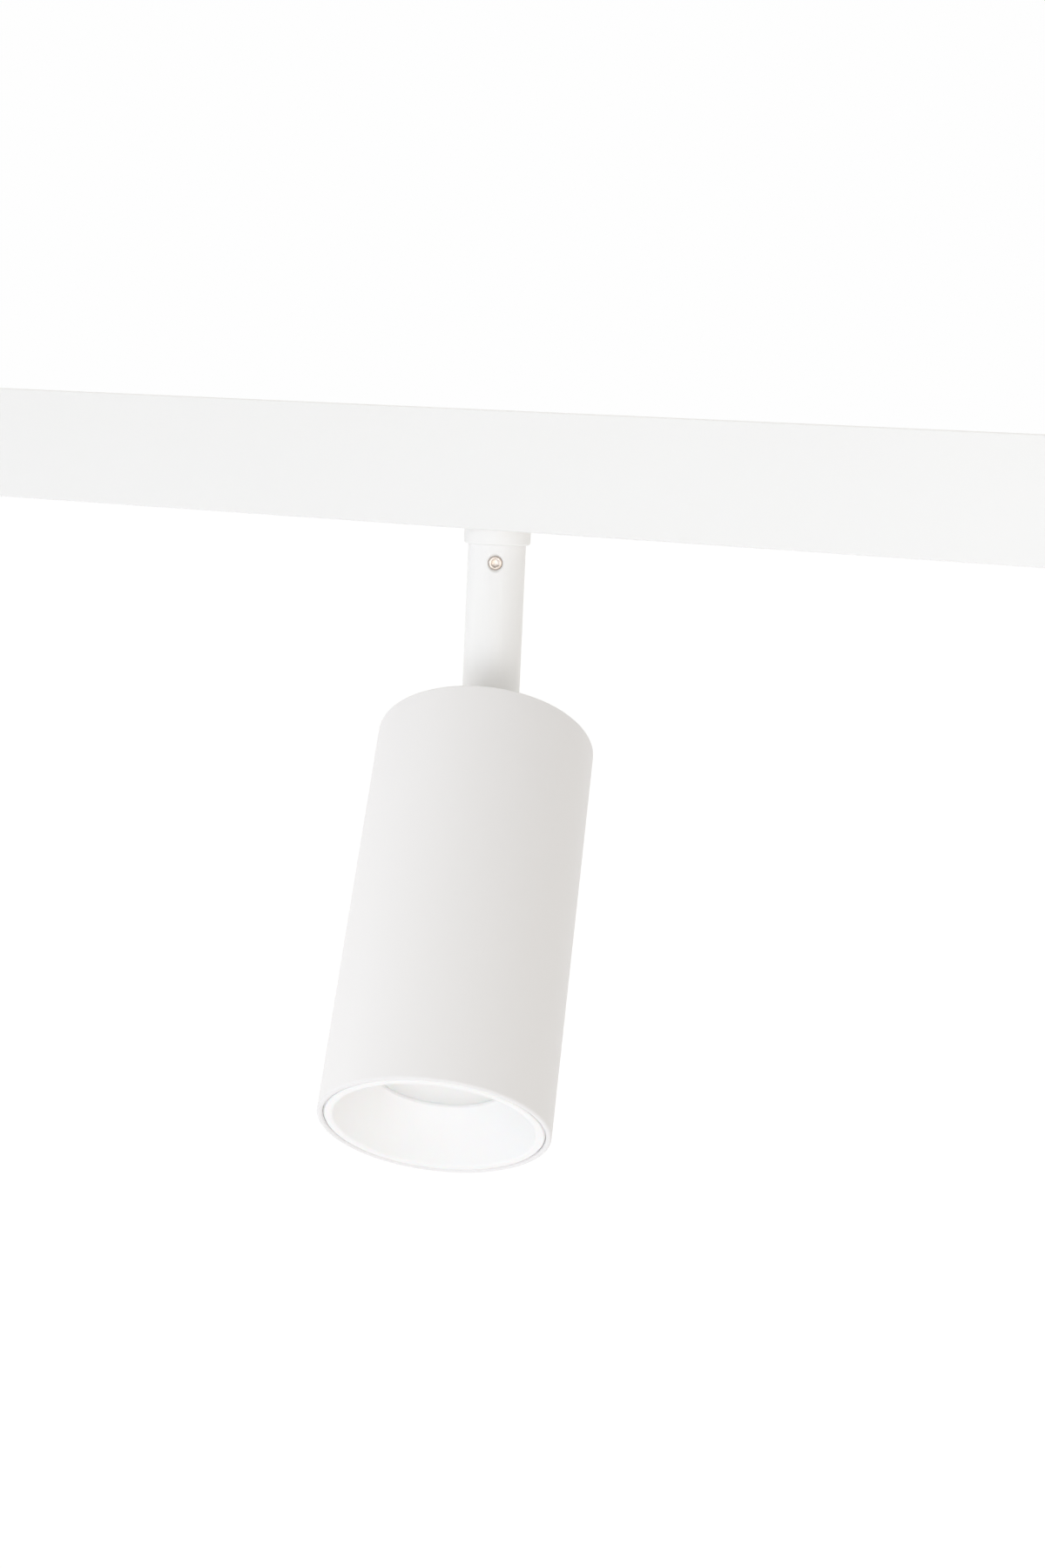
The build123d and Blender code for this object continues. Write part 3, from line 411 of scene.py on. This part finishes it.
def mouldedWhite(name, dark, light, roughness, grain):
    # Injection-moulded polycarbonate: fine spark-eroded grain, milky at thin edges.
    material, tree, shader, coords = newMaterial(name, IOR=1.58, Subsurface_Weight=0.12,
                                                 Subsurface_Scale=0.4 * mm)
    cloudy = addNode(tree, "TexNoise", {}, {"Vector": coords, "Scale": perMetre(30), "Detail": 2})
    colour = addNode(tree, "Mix", {"data_type": "RGBA"},
                     {"Factor": cloudy.outputs["Fac"], mixA: linear(dark), mixB: linear(light)})
    tree.links.new(colour.outputs[mixed], shader.inputs["Base Color"])
    pits = addNode(tree, "TexVoronoi", {"feature": "SMOOTH_F1"},
                   {"Vector": coords, "Scale": perMetre(grain), "Smoothness": 0.6})
    sheen = addNode(tree, "MapRange", {}, {"Value": pits.outputs["Distance"],
                                           "To Min": roughness - 0.04, "To Max": roughness + 0.06})
    tree.links.new(sheen.outputs[0], shader.inputs["Roughness"])
    bump = addNode(tree, "Bump", {}, {"Height": pits.outputs["Distance"], "Strength": 0.25,
                                      "Distance": 0.02 * mm})
    tree.links.new(bump.outputs[0], shader.inputs["Normal"])
    return material


def extrudedPvc():
    # Hard PVC pressed through a die: die lines run along the track, waxy and slightly cream.
    material, tree, shader, coords = newMaterial("extruded white PVC", IOR=1.54)
    # the lines are 0.3 mm apart and hundreds of millimetres long
    along = addNode(tree, "Mapping", {}, {"Vector": coords, "Scale": (0.004, 1, 1)})
    lines = addNode(tree, "TexNoise", {}, {"Vector": along.outputs[0], "Scale": perMetre(0.3), "Detail": 2})
    colour = addNode(tree, "Mix", {"data_type": "RGBA"},
                     {"Factor": lines.outputs["Fac"], mixA: linear("#DDDBD5"), mixB: linear("#E6E4DF")})
    tree.links.new(colour.outputs[mixed], shader.inputs["Base Color"])
    sheen = addNode(tree, "MapRange", {}, {"Value": lines.outputs["Fac"], "To Min": 0.34, "To Max": 0.5})
    tree.links.new(sheen.outputs[0], shader.inputs["Roughness"])
    bump = addNode(tree, "Bump", {}, {"Height": lines.outputs["Fac"], "Strength": 0.4, "Distance": 0.02 * mm})
    tree.links.new(bump.outputs[0], shader.inputs["Normal"])
    return material


def drawnMetal(name, dark, light, roughness, stretch, spacing):
    # Drawn or rolled metal: bright, with fine lines the way it was pulled and a few duller patches.
    material, tree, shader, coords = newMaterial(name, Metallic=1.0)
    along = addNode(tree, "Mapping", {}, {"Vector": coords, "Scale": stretch})
    lines = addNode(tree, "TexNoise", {},
                    {"Vector": along.outputs[0], "Scale": perMetre(spacing), "Detail": 3})
    dull = addNode(tree, "TexNoise", {}, {"Vector": coords, "Scale": perMetre(6), "Detail": 3})
    blend = addNode(tree, "Math", {"operation": "MULTIPLY"},
                    {0: lines.outputs["Fac"], 1: dull.outputs["Fac"]})
    share = addNode(tree, "MapRange", {}, {"Value": blend.outputs[0], "From Min": 0.1, "From Max": 0.45})
    colour = addNode(tree, "Mix", {"data_type": "RGBA"},
                     {"Factor": share.outputs[0], mixA: linear(dark), mixB: linear(light)})
    tree.links.new(colour.outputs[mixed], shader.inputs["Base Color"])
    sheen = addNode(tree, "MapRange", {}, {"Value": share.outputs[0],
                                           "To Min": roughness + 0.12, "To Max": roughness - 0.05})
    tree.links.new(sheen.outputs[0], shader.inputs["Roughness"])
    bump = addNode(tree, "Bump", {}, {"Height": lines.outputs["Fac"], "Strength": 0.3, "Distance": 0.01 * mm})
    tree.links.new(bump.outputs[0], shader.inputs["Normal"])
    return material


def platedSteel(name, base, glint, roughness):
    # Barrel-plated steel: small soft dents from the barrel, and a film whose tint wanders.
    material, tree, shader, coords = newMaterial(name, Metallic=1.0)
    film = addNode(tree, "TexNoise", {}, {"Vector": coords, "Scale": perMetre(1.6), "Detail": 2})
    colour = addNode(tree, "ValToRGB", {}, {"Fac": film.outputs["Fac"]})
    colour.color_ramp.elements[0].position = 0.35
    colour.color_ramp.elements[0].color = linear(base)
    colour.color_ramp.elements[1].position = 0.62
    colour.color_ramp.elements[1].color = linear(glint)
    tree.links.new(colour.outputs["Color"], shader.inputs["Base Color"])
    dents = addNode(tree, "TexNoise", {}, {"Vector": coords, "Scale": perMetre(0.35), "Detail": 2})
    sheen = addNode(tree, "MapRange", {}, {"Value": dents.outputs["Fac"],
                                           "To Min": roughness - 0.06, "To Max": roughness + 0.1})
    tree.links.new(sheen.outputs[0], shader.inputs["Roughness"])
    bump = addNode(tree, "Bump", {}, {"Height": dents.outputs["Fac"], "Strength": 0.3, "Distance": 0.01 * mm})
    tree.links.new(bump.outputs[0], shader.inputs["Normal"])
    return material


def frostedAcrylic(node):
    # Diffuser of opal acrylic: milky, lets a little of the bowl behind it through, sanded face, and painted
    # greyer towards the rim as painted shade from the cone's edge.
    material, tree, shader, coords = newMaterial("frosted acrylic", IOR=1.49, Transmission_Weight=0.15,
                                                 Subsurface_Weight=0.2, Subsurface_Scale=1.0 * mm)
    low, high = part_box(node)
    radius = radialSpan(node, headPlace)[1]
    cloudy = addNode(tree, "TexNoise", {}, {"Vector": coords, "Scale": perMetre(9), "Detail": 2})
    colour = addNode(tree, "Mix", {"data_type": "RGBA"},
                     {"Factor": cloudy.outputs["Fac"], mixA: linear("#F4F3F1"), mixB: linear("#F8F7F6")})
    # painted shade: the colour turns greyer from half the radius out to the rim
    outward = addNode(tree, "VectorMath", {"operation": "DISTANCE"}, {0: coords, 1: (low + high) / 2})
    rim = addNode(tree, "MapRange", {}, {"Value": outward.outputs["Value"], "From Min": 0.5 * radius,
                                         "From Max": radius})
    shaded = addNode(tree, "Mix", {"data_type": "RGBA"},
                     {"Factor": rim.outputs[0], mixA: colour.outputs[mixed], mixB: linear("#EBEAE8")})
    tree.links.new(shaded.outputs[mixed], shader.inputs["Base Color"])
    # the sanding is 0.15 mm fine, drawn at 0.5 mm so that it shows
    frost = addNode(tree, "TexNoise", {}, {"Vector": coords, "Scale": perMetre(0.5), "Detail": 3})
    sheen = addNode(tree, "MapRange", {}, {"Value": frost.outputs["Fac"], "To Min": 0.5, "To Max": 0.68})
    tree.links.new(sheen.outputs[0], shader.inputs["Roughness"])
    bump = addNode(tree, "Bump", {}, {"Height": frost.outputs["Fac"], "Strength": 0.5, "Distance": 0.05 * mm})
    tree.links.new(bump.outputs[0], shader.inputs["Normal"])
    return material


def softPart(name, dark, light, roughness, grain, **values):
    # Rubber, nylon, silicone and other soft mouldings: matt, even, with a faint mottle.
    material, tree, shader, coords = newMaterial(name, **values)
    mottle = addNode(tree, "TexNoise", {}, {"Vector": coords, "Scale": perMetre(grain), "Detail": 4})
    colour = addNode(tree, "Mix", {"data_type": "RGBA"},
                     {"Factor": mottle.outputs["Fac"], mixA: linear(dark), mixB: linear(light)})
    tree.links.new(colour.outputs[mixed], shader.inputs["Base Color"])
    sheen = addNode(tree, "MapRange", {}, {"Value": mottle.outputs["Fac"],
                                           "To Min": roughness - 0.07, "To Max": roughness + 0.07})
    tree.links.new(sheen.outputs[0], shader.inputs["Roughness"])
    bump = addNode(tree, "Bump", {}, {"Height": mottle.outputs["Fac"], "Strength": 0.3,
                                      "Distance": 0.04 * mm})
    tree.links.new(bump.outputs[0], shader.inputs["Normal"])
    return material


def glassEpoxy():
    # Printed board: green resist over a glass weave of about 0.4 mm.
    material, tree, shader, coords = newMaterial("green glass epoxy", IOR=1.55, Coat_Weight=0.4)
    warp = addNode(tree, "TexWave", {"bands_direction": "X"}, {"Vector": coords, "Scale": perMetre(2.5)})
    weft = addNode(tree, "TexWave", {"bands_direction": "Y"}, {"Vector": coords, "Scale": perMetre(2.5)})
    weave = addNode(tree, "Math", {"operation": "MULTIPLY"}, {0: warp.outputs["Fac"], 1: weft.outputs["Fac"]})
    colour = addNode(tree, "Mix", {"data_type": "RGBA"},
                     {"Factor": weave.outputs[0], mixA: linear("#1F5A35"), mixB: linear("#2B6C43")})
    tree.links.new(colour.outputs[mixed], shader.inputs["Base Color"])
    bump = addNode(tree, "Bump", {}, {"Height": weave.outputs[0], "Strength": 0.3, "Distance": 0.02 * mm})
    tree.links.new(bump.outputs[0], shader.inputs["Normal"])
    return material


coatWhite = powderCoat("satin white powder coat", "#EFEEED", "#F1F0EF")
coatRail = powderCoat("fine white powder coat", "#E9E8E7", "#EBEAE9")
# the head's coat is the same white paint drawn darker and warmer, as painted shade on the head
coatHeadPaintedShade = powderCoat("white powder coat with painted shade", "#E6E4E4", "#E8E6E6")
plasticWhite = mouldedWhite("moulded white polycarbonate", "#E8E6E3", "#EDEBE8", 0.42, 0.3)
coneWhite = mouldedWhite("matt white polycarbonate", "#EEEDEC", "#F0EFEF", 0.65, 0.4)
pvc = extrudedPvc()
copper = drawnMetal("drawn copper", "#B5714F", "#D99A78", 0.24, (0.01, 1, 1), 0.25)
brass = drawnMetal("stamped brass", "#B08D4A", "#D9BC7B", 0.28, (1, 0.2, 1), 0.25)
millAluminium = drawnMetal("mill finish aluminium", "#A9ABAD", "#CBCDCF", 0.34, (1, 1, 0.05), 0.3)
zincSteel = platedSteel("zinc plated steel", "#A6A9AE", "#C6C9CC", 0.3)
nickelSteel = platedSteel("nickel plated steel", "#BAB5AE", "#C9C4BC", 0.22)
brightNickel = platedSteel("bright nickel plated steel", "#B6AA9E", "#D6CBC2", 0.32)
acrylic = frostedAcrylic("lens")
nylon = softPart("natural nylon", "#DAD7CD", "#E4E1D8", 0.5, 2.0, IOR=1.53, Subsurface_Weight=0.15,
                 Subsurface_Scale=0.5 * mm)
rubber = softPart("light grey rubber", "#B9B9B7", "#C4C4C2", 0.66, 1.2, IOR=1.52)
silicone = softPart("clear white silicone", "#DCDCDA", "#E6E6E4", 0.45, 1.5, IOR=1.43,
                    Subsurface_Weight=0.3, Subsurface_Scale=0.8 * mm)
gapPad = softPart("grey gap filler", "#6E7479", "#838A90", 0.75, 0.8, IOR=1.45)
phosphor = softPart("yellow phosphor gel", "#E2B93C", "#F0CF5E", 0.36, 0.9, IOR=1.43,
                    Subsurface_Weight=0.2, Subsurface_Scale=0.3 * mm)
ceramicBoard = softPart("white ceramic board", "#E4E4E1", "#EFEFEC", 0.38, 1.1, IOR=1.7)
blackEpoxy = softPart("black moulded epoxy", "#202124", "#2E3034", 0.45, 0.7, IOR=1.55)
boardGreen = glassEpoxy()
reflectorFilm = platedSteel("satin metallised polycarbonate", "#D4D4D2", "#E2E2E0", 0.26)
print("materials made")


# Lamp head: tube, baffle, lens, clevis and screws

headTubeForm = {"rimRound": 0.7 * mm, "rimSegments": 6, "steps": 224}


def makeHeadTube():
    inner, outer, low, high = radialSpan("head_tube", headPlace)
    edge = headTubeForm["rimRound"]
    work = spun([(inner, low, edge), (outer, low, edge), (outer, high, edge), (inner, high, edge)],
                headTubeForm["steps"], headTubeForm["rimSegments"])
    finishPiece("headTube", moved(work, headPlace), "head", ["head_tube"], [coatHeadPaintedShade])


baffleForm = {
    "lipWidth": 2.1 * mm,
    "coneDepth": 13.1 * mm,
    "land": 0.8 * mm,
    "wall": 1.4 * mm,
    "skirt": 18.0 * mm,
    "lensSeat": 2.2 * mm,
    "lipRound": 0.5 * mm,
    "apertureRound": 0.15 * mm,
    "seatRound": 0.05 * mm,
    "bead": 0.22 * mm,          # centres the ring in the tube, a little behind its face
    "beadRound": 0.1 * mm,
    "beadSpan": (0.58 * mm, 1.9 * mm),
    "steps": 192,
}


def makeBaffle():
    # lip ring, cone, a short land round the aperture, the cup that holds the lens, and a bead
    # round the skirt
    form = baffleForm
    aperture, outer, face, top = radialSpan("baffle", headPlace)
    lipInner = outer - form["lipWidth"]
    deep = face + form["coneDepth"]
    seat = deep + form["land"]
    pocket = aperture + form["lensSeat"]
    cup = pocket + form["wall"]
    skirtInner = outer - form["wall"]
    slope = (lipInner - aperture) / form["coneDepth"]
    thick = form["wall"] * math.sqrt(1 + slope ** 2)

    def backAt(radius):
        # height of the cone's outer side at this radius
        return face + (lipInner + thick - radius) / slope

    edge = form["lipRound"]
    bead = outer + form["bead"]
    beadStart, beadEnd = (face + depth for depth in form["beadSpan"])
    work = spun([
        (outer, face, edge), (lipInner, face, edge),
        (aperture, deep, form["apertureRound"]), (aperture, seat, form["seatRound"]),
        (pocket, seat, 0), (pocket, top, 0), (cup, top, 0), (cup, backAt(cup), 0),
        (skirtInner, backAt(skirtInner), 0), (skirtInner, face + form["skirt"], 0),
        (outer, face + form["skirt"], 0), (outer, beadEnd, 0), (bead, beadEnd, form["beadRound"]),
        (bead, beadStart, form["beadRound"]), (outer, beadStart, 0),
    ], form["steps"])
    finishPiece("lampBaffle", moved(work, headPlace), "head", ["baffle"], [coneWhite])


lensForm = {"edge": 0.25 * mm, "edgeSegments": 3, "steps": 128}


def makeLens():
    outer, low, high = radialSpan("lens", headPlace)[1:]
    edge = lensForm["edge"]
    work = spun([(0, low, 0), (outer, low, edge), (outer, high, edge), (0, high, 0)],
                lensForm["steps"], lensForm["edgeSegments"])
    finishPiece("diffuserLens", moved(work, headPlace), "head", ["lens"], [acrylic])


leadGrommetForm = {"flangeRound": 0.4 * mm, "wall": 2.0 * mm, "steps": 48}


def makeLeadGrommet():
    # soft bush in the rear cap, with a rounded flange above and below
    low, high = solidBoxes("lead_grommet", headPlace)[0]
    middle = (low + high) / 2
    place = headPlace @ Matrix.Translation((middle.x, middle.y, 0))
    bore, flange, bottom, top = radialSpan("lead_grommet", place)
    neck = bore + leadGrommetForm["wall"]
    capTop = radialSpan("rear_cap", headPlace)[3]
    capUnder = bottom + (top - capTop)
    edge = leadGrommetForm["flangeRound"]
    work = spun([
        (bore, bottom, edge), (flange, bottom, edge), (flange, capUnder, 0), (neck, capUnder, 0),
        (neck, capTop, 0), (flange, capTop, 0), (flange, top, edge), (bore, top, edge),
    ], leadGrommetForm["steps"], 4)
    finishPiece("leadGrommet", moved(work, place), "head", ["lead_grommet"], [rubber])


domeSteps = 5


def domeProfile(form, head, shankEnd, top):
    # from the middle of the shank's end, out under the head and over its rounded shoulder
    shank, dome = form["shank"], form["dome"]
    seat = top - form["headHeight"]
    points = [(0, shankEnd), (shank, shankEnd), (shank, seat), (head, seat), (head, top - dome)]
    for step in range(1, domeSteps + 1):
        turn = math.radians(90 * step / domeSteps)
        points.append((head - dome * (1 - math.cos(turn)), top - dome * (1 - math.sin(turn))))
    return points + [(socketMouth(form), top)]


capScrewForm = {"headRadius": 2.8 * mm, "headHeight": 1.7 * mm, "shank": 1.5 * mm, "dome": 0.55 * mm,
                "flats": 1.8 * mm, "socketDepth": 1.0 * mm, "mouth": 1.12}


def makeCapScrews():
    form = capScrewForm
    screws = []
    for low, high in solidBoxes("cap_screws", headPlace):
        middle = (low + high) / 2
        screw = socketScrew(domeProfile(form, form["headRadius"], low.z, high.z), form)
        screws.append(moved(screw, Matrix.Translation((middle.x, middle.y, 0))))
    finishPiece("capScrews", moved(joined(screws), headPlace), "head", ["cap_screws"], [nickelSteel])


bracketScrewForm = {"shank": 1.5 * mm, "head": 2.8 * mm, "rimBreak": 0.05 * mm,
                    "flats": 1.8 * mm, "socketDepth": 1.2 * mm, "mouth": 1.12}


def makeBracketScrews():
    # countersunk, their flat heads level with the bracket's plate
    form = bracketScrewForm
    shank, head, rim = form["shank"], form["head"], form["rimBreak"]
    screws = []
    for low, high in solidBoxes("bracket_screws", headPlace):
        middle = (low + high) / 2
        top = high.z
        profile = [
            (0, low.z), (shank, low.z), (shank, top - (head - shank)),
            (head, top - rim), (head - rim, top), (socketMouth(form), top),
        ]
        screw = socketScrew(profile, form)
        screws.append(moved(screw, Matrix.Translation((middle.x, middle.y, 0))))
    finishPiece("bracketScrews", moved(joined(screws), headPlace), "head", ["bracket_screws"],
                [nickelSteel])


tiltBoltForm = {"headHeight": 2.6 * mm, "shank": 2.5 * mm, "dome": 1.3 * mm,
                "flats": 3.0 * mm, "socketDepth": 1.5 * mm, "mouth": 1.1}


def makeTiltBolt():
    outer, low, high = radialSpan("tilt_bolt", boltPlace)[1:]
    work = socketScrew(domeProfile(tiltBoltForm, outer, low, high), tiltBoltForm)
    finishPiece("tiltBolt", moved(work, boltPlace), "head", ["tilt_bolt"], [nickelSteel])


tiltNutForm = {
    "flats": 8.0 * mm,
    "bore": 2.5 * mm,
    "boreRound": 0.15 * mm,
    "chamfer": 0.45 * mm,
    "chamferInset": 0.1 * mm,
    "hexShare": 0.62,           # the hexagon's part of the nut's height
    "collar": 3.45 * mm,
    "collarRound": 0.4 * mm,
    "insert": 3.0 * mm,
    "insertDepth": 0.25 * mm,
    "insertReach": 0.5 * mm,    # what shows nylon, from the collar's end
    "fineRound": 0.1 * mm,
    "steps": 96,
}


def makeTiltNut():
    # a lock nut: chamfered hexagon, rolled collar and the nylon ring inside it
    form = tiltNutForm
    end, seat = radialSpan("tilt_nut", boltPlace)[2:]
    hexEnd = seat - (seat - end) * form["hexShare"]
    corner = form["flats"] / math.sqrt(3)
    chamferRadius = form["flats"] / 2 - form["chamferInset"]
    fine = form["fineRound"]
    work = spun([
        (form["bore"], seat, form["boreRound"]),
        (chamferRadius, seat, 0), (corner, seat - form["chamfer"], 0),
        (corner, hexEnd + form["chamfer"], 0), (chamferRadius, hexEnd, 0),
        (form["collar"], hexEnd, fine), (form["collar"], end, form["collarRound"]),
        (form["insert"], end, fine), (form["bore"], end + form["insertDepth"], fine),
    ], form["steps"], 4)
    for side in range(6):
        turn = math.radians(60 * side)
        outward = Vector((math.cos(turn), math.sin(turn), 0))
        cut = bmesh.ops.bisect_plane(work, geom=work.verts[:] + work.edges[:] + work.faces[:],
                                     plane_co=outward * form["flats"] / 2, plane_no=outward,
                                     clear_outer=True)
        rim = [item for item in cut["geom_cut"] if isinstance(item, bmesh.types.BMEdge)]
        bmesh.ops.contextual_create(work, geom=rim)
    bmesh.ops.remove_doubles(work, verts=work.verts, dist=weldGap)
    bmesh.ops.recalc_face_normals(work, faces=work.faces)
    for face in work.faces:
        middle = face.calc_center_median()
        if math.hypot(middle.x, middle.y) < form["insert"] and middle.z < end + form["insertReach"]:
            face.material_index = 1   # the nylon ring
    finishPiece("tiltNut", moved(work, boltPlace), "head", ["tilt_nut"], [nickelSteel, nylon])


makeHeadTube()
makeBaffle()
makeLens()
makeLeadGrommet()
makeCapScrews()
makeBracketScrews()
makeTiltBolt()
makeTiltNut()
print("lamp head made")


# Stem: collar, tube and set screw

collarForm = {"edge": 0.6 * mm, "topEdge": 0.15 * mm, "mouthRound": 0.1 * mm, "stemGap": 0.05 * mm,
              "recess": 1.2 * mm, "steps": 128}


def makeCollar():
    # a ring with a shallow recess, in which the stem's end sits
    form = collarForm
    bore, outer, low, high = radialSpan("collar")
    recess = radialSpan("stem_tube")[1] + form["stemGap"]
    work = spun([
        (bore, high, 0), (outer, high, form["topEdge"]), (outer, low, form["edge"]),
        (recess, low, form["mouthRound"]), (recess, low + form["recess"], 0), (bore, low + form["recess"], 0),
    ], form["steps"])
    finishPiece("stemCollar", work, "stem", ["collar"], [coatWhite])


setScrewForm = {
    "chamfer": 0.35 * mm,
    "shoulder": (0.45, 0.25),   # of the chamfer, inwards and downwards
    "flats": 2.0 * mm,
    "socketDepth": 1.1 * mm,
    "mouth": 1.1,
}


def makeSetScrew():
    # a socket set screw with a flat chamfered end, set just under the stem's face
    form = setScrewForm
    outer, low, high = radialSpan("set_screw", screwPlace)[1:]
    edge = form["chamfer"]
    inwards, downwards = form["shoulder"]
    profile = [
        (0, low), (outer - edge, low), (outer, low + edge), (outer, high - edge),
        (outer - edge * inwards, high - edge * downwards), (outer - edge, high), (socketMouth(form), high),
    ]
    work = socketScrew(profile, form)
    finishPiece("setScrew", moved(work, screwPlace), "stem", ["set_screw"], [brightNickel])


makeCollar()
makeSetScrew()
print("stem made")


# Pieces whose CAD form is right, with their edges broken as tooling leaves them

edgedPieces = {
    # piece: (CAD node, body, slot, material, edge in millimetres)
    "trackRail": ("track_profile", "track", "white_aluminium", coatRail, 0.18),
    "feedHousing": ("feed_housing", "track", "white_plastic", plasticWhite, 0.25),
    "feedCover": ("feed_cover", "track", "white_plastic", plasticWhite, 0.3),
    "endCap": ("end_cap", "track", "white_plastic", plasticWhite, 0.25),
    "terminalBlock": ("feed_terminal_block", "track", "insulator", plasticWhite, 0.2),
    "adapterHousing": ("adapter_housing", "adapter", "white_plastic", plasticWhite, 0.2),
    "adapterCover": ("adapter_cover", "adapter", "white_plastic", plasticWhite, 0.15),
    "coverScrews": ("adapter_cover_screws", "adapter", "zinc_plated", zincSteel, 0.08),
    "lockLeverLeft": ("lock_lever_left", "lock_left", "white_plastic", plasticWhite, 0.15),
    "lockLeverRight": ("lock_lever_right", "lock_right", "white_plastic", plasticWhite, 0.15),
    "lockWingLeft": ("lock_wing_left", "lock_left", "zinc_plated", zincSteel, 0.2),
    "lockWingRight": ("lock_wing_right", "lock_right", "zinc_plated", zincSteel, 0.2),
    "contactDrum": ("contact_drum", "contact_rotor", "white_plastic", plasticWhite, 0.15),
    "contactBlades": ("contact_blades", "contact_rotor", "brass", brass, 0.1),
    "stemTube": ("stem_tube", "stem", "white_aluminium", coatWhite, 0.1),
    "stemKnuckle": ("stem_knuckle", "stem", "white_aluminium", coatWhite, 0.25),
    "headBracket": ("head_bracket", "head", "white_aluminium", coatWhite, 0.3),
    "rearCap": ("rear_cap", "head", "white_aluminium", coatHeadPaintedShade, 0.2),
}


def makeEdgedPieces():
    for name, (node, body, slot, material, edge) in edgedPieces.items():
        finishPiece(name, mergedCopy(node), body, [node], [material], edge)


cableGrommetForm = {"flangeRound": 0.45 * mm, "wall": 1.6 * mm, "steps": 64}


def makeCableGrommet():
    # bush in the live feed's end wall
    low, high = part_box("cable_grommet")
    middle = (low + high) / 2
    place = Matrix.Translation((low.x, middle.y, middle.z)) @ Matrix.Rotation(math.radians(90), 4, "Y")
    bore, flange, outside, inside = radialSpan("cable_grommet", place)
    neck = bore + cableGrommetForm["wall"]
    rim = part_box("feed_housing")[0].x - low.x
    edge = cableGrommetForm["flangeRound"]
    work = spun([
        (bore, outside, edge), (flange, outside, edge), (flange, rim, 0), (neck, rim, 0),
        (neck, inside - rim, 0), (flange, inside - rim, 0), (flange, inside, edge), (bore, inside, edge),
    ], cableGrommetForm["steps"], 4)
    finishPiece("cableGrommet", moved(work, place), "track", ["cable_grommet"], [rubber])


makeEdgedPieces()
makeCableGrommet()
dress(pvc, "insulator_rear", "insulator_front")
dress(copper, "copper_conductors", "earth_strip")
dress(brass, "feed_contacts", "earth_spring")
dress(zincSteel, "feed_terminal_screws", "pan_nipple", "pan_stop_washer", "pan_nut", "holder_screws")
dress(boardGreen, "driver_board")
dress(blackEpoxy, "driver_components")
dress(nylon, "pan_washer_upper", "pan_washer_lower", "tilt_washers")
dress(millAluminium, "heat_sink")
dress(gapPad, "thermal_pad")
dress(ceramicBoard, "led_board")
dress(phosphor, "led_emitter")
dress(plasticWhite, "led_holder")
dress(reflectorFilm, "inner_reflector")
dress(silicone, "lens_gasket")
print("track, adapter and inner pieces dressed")
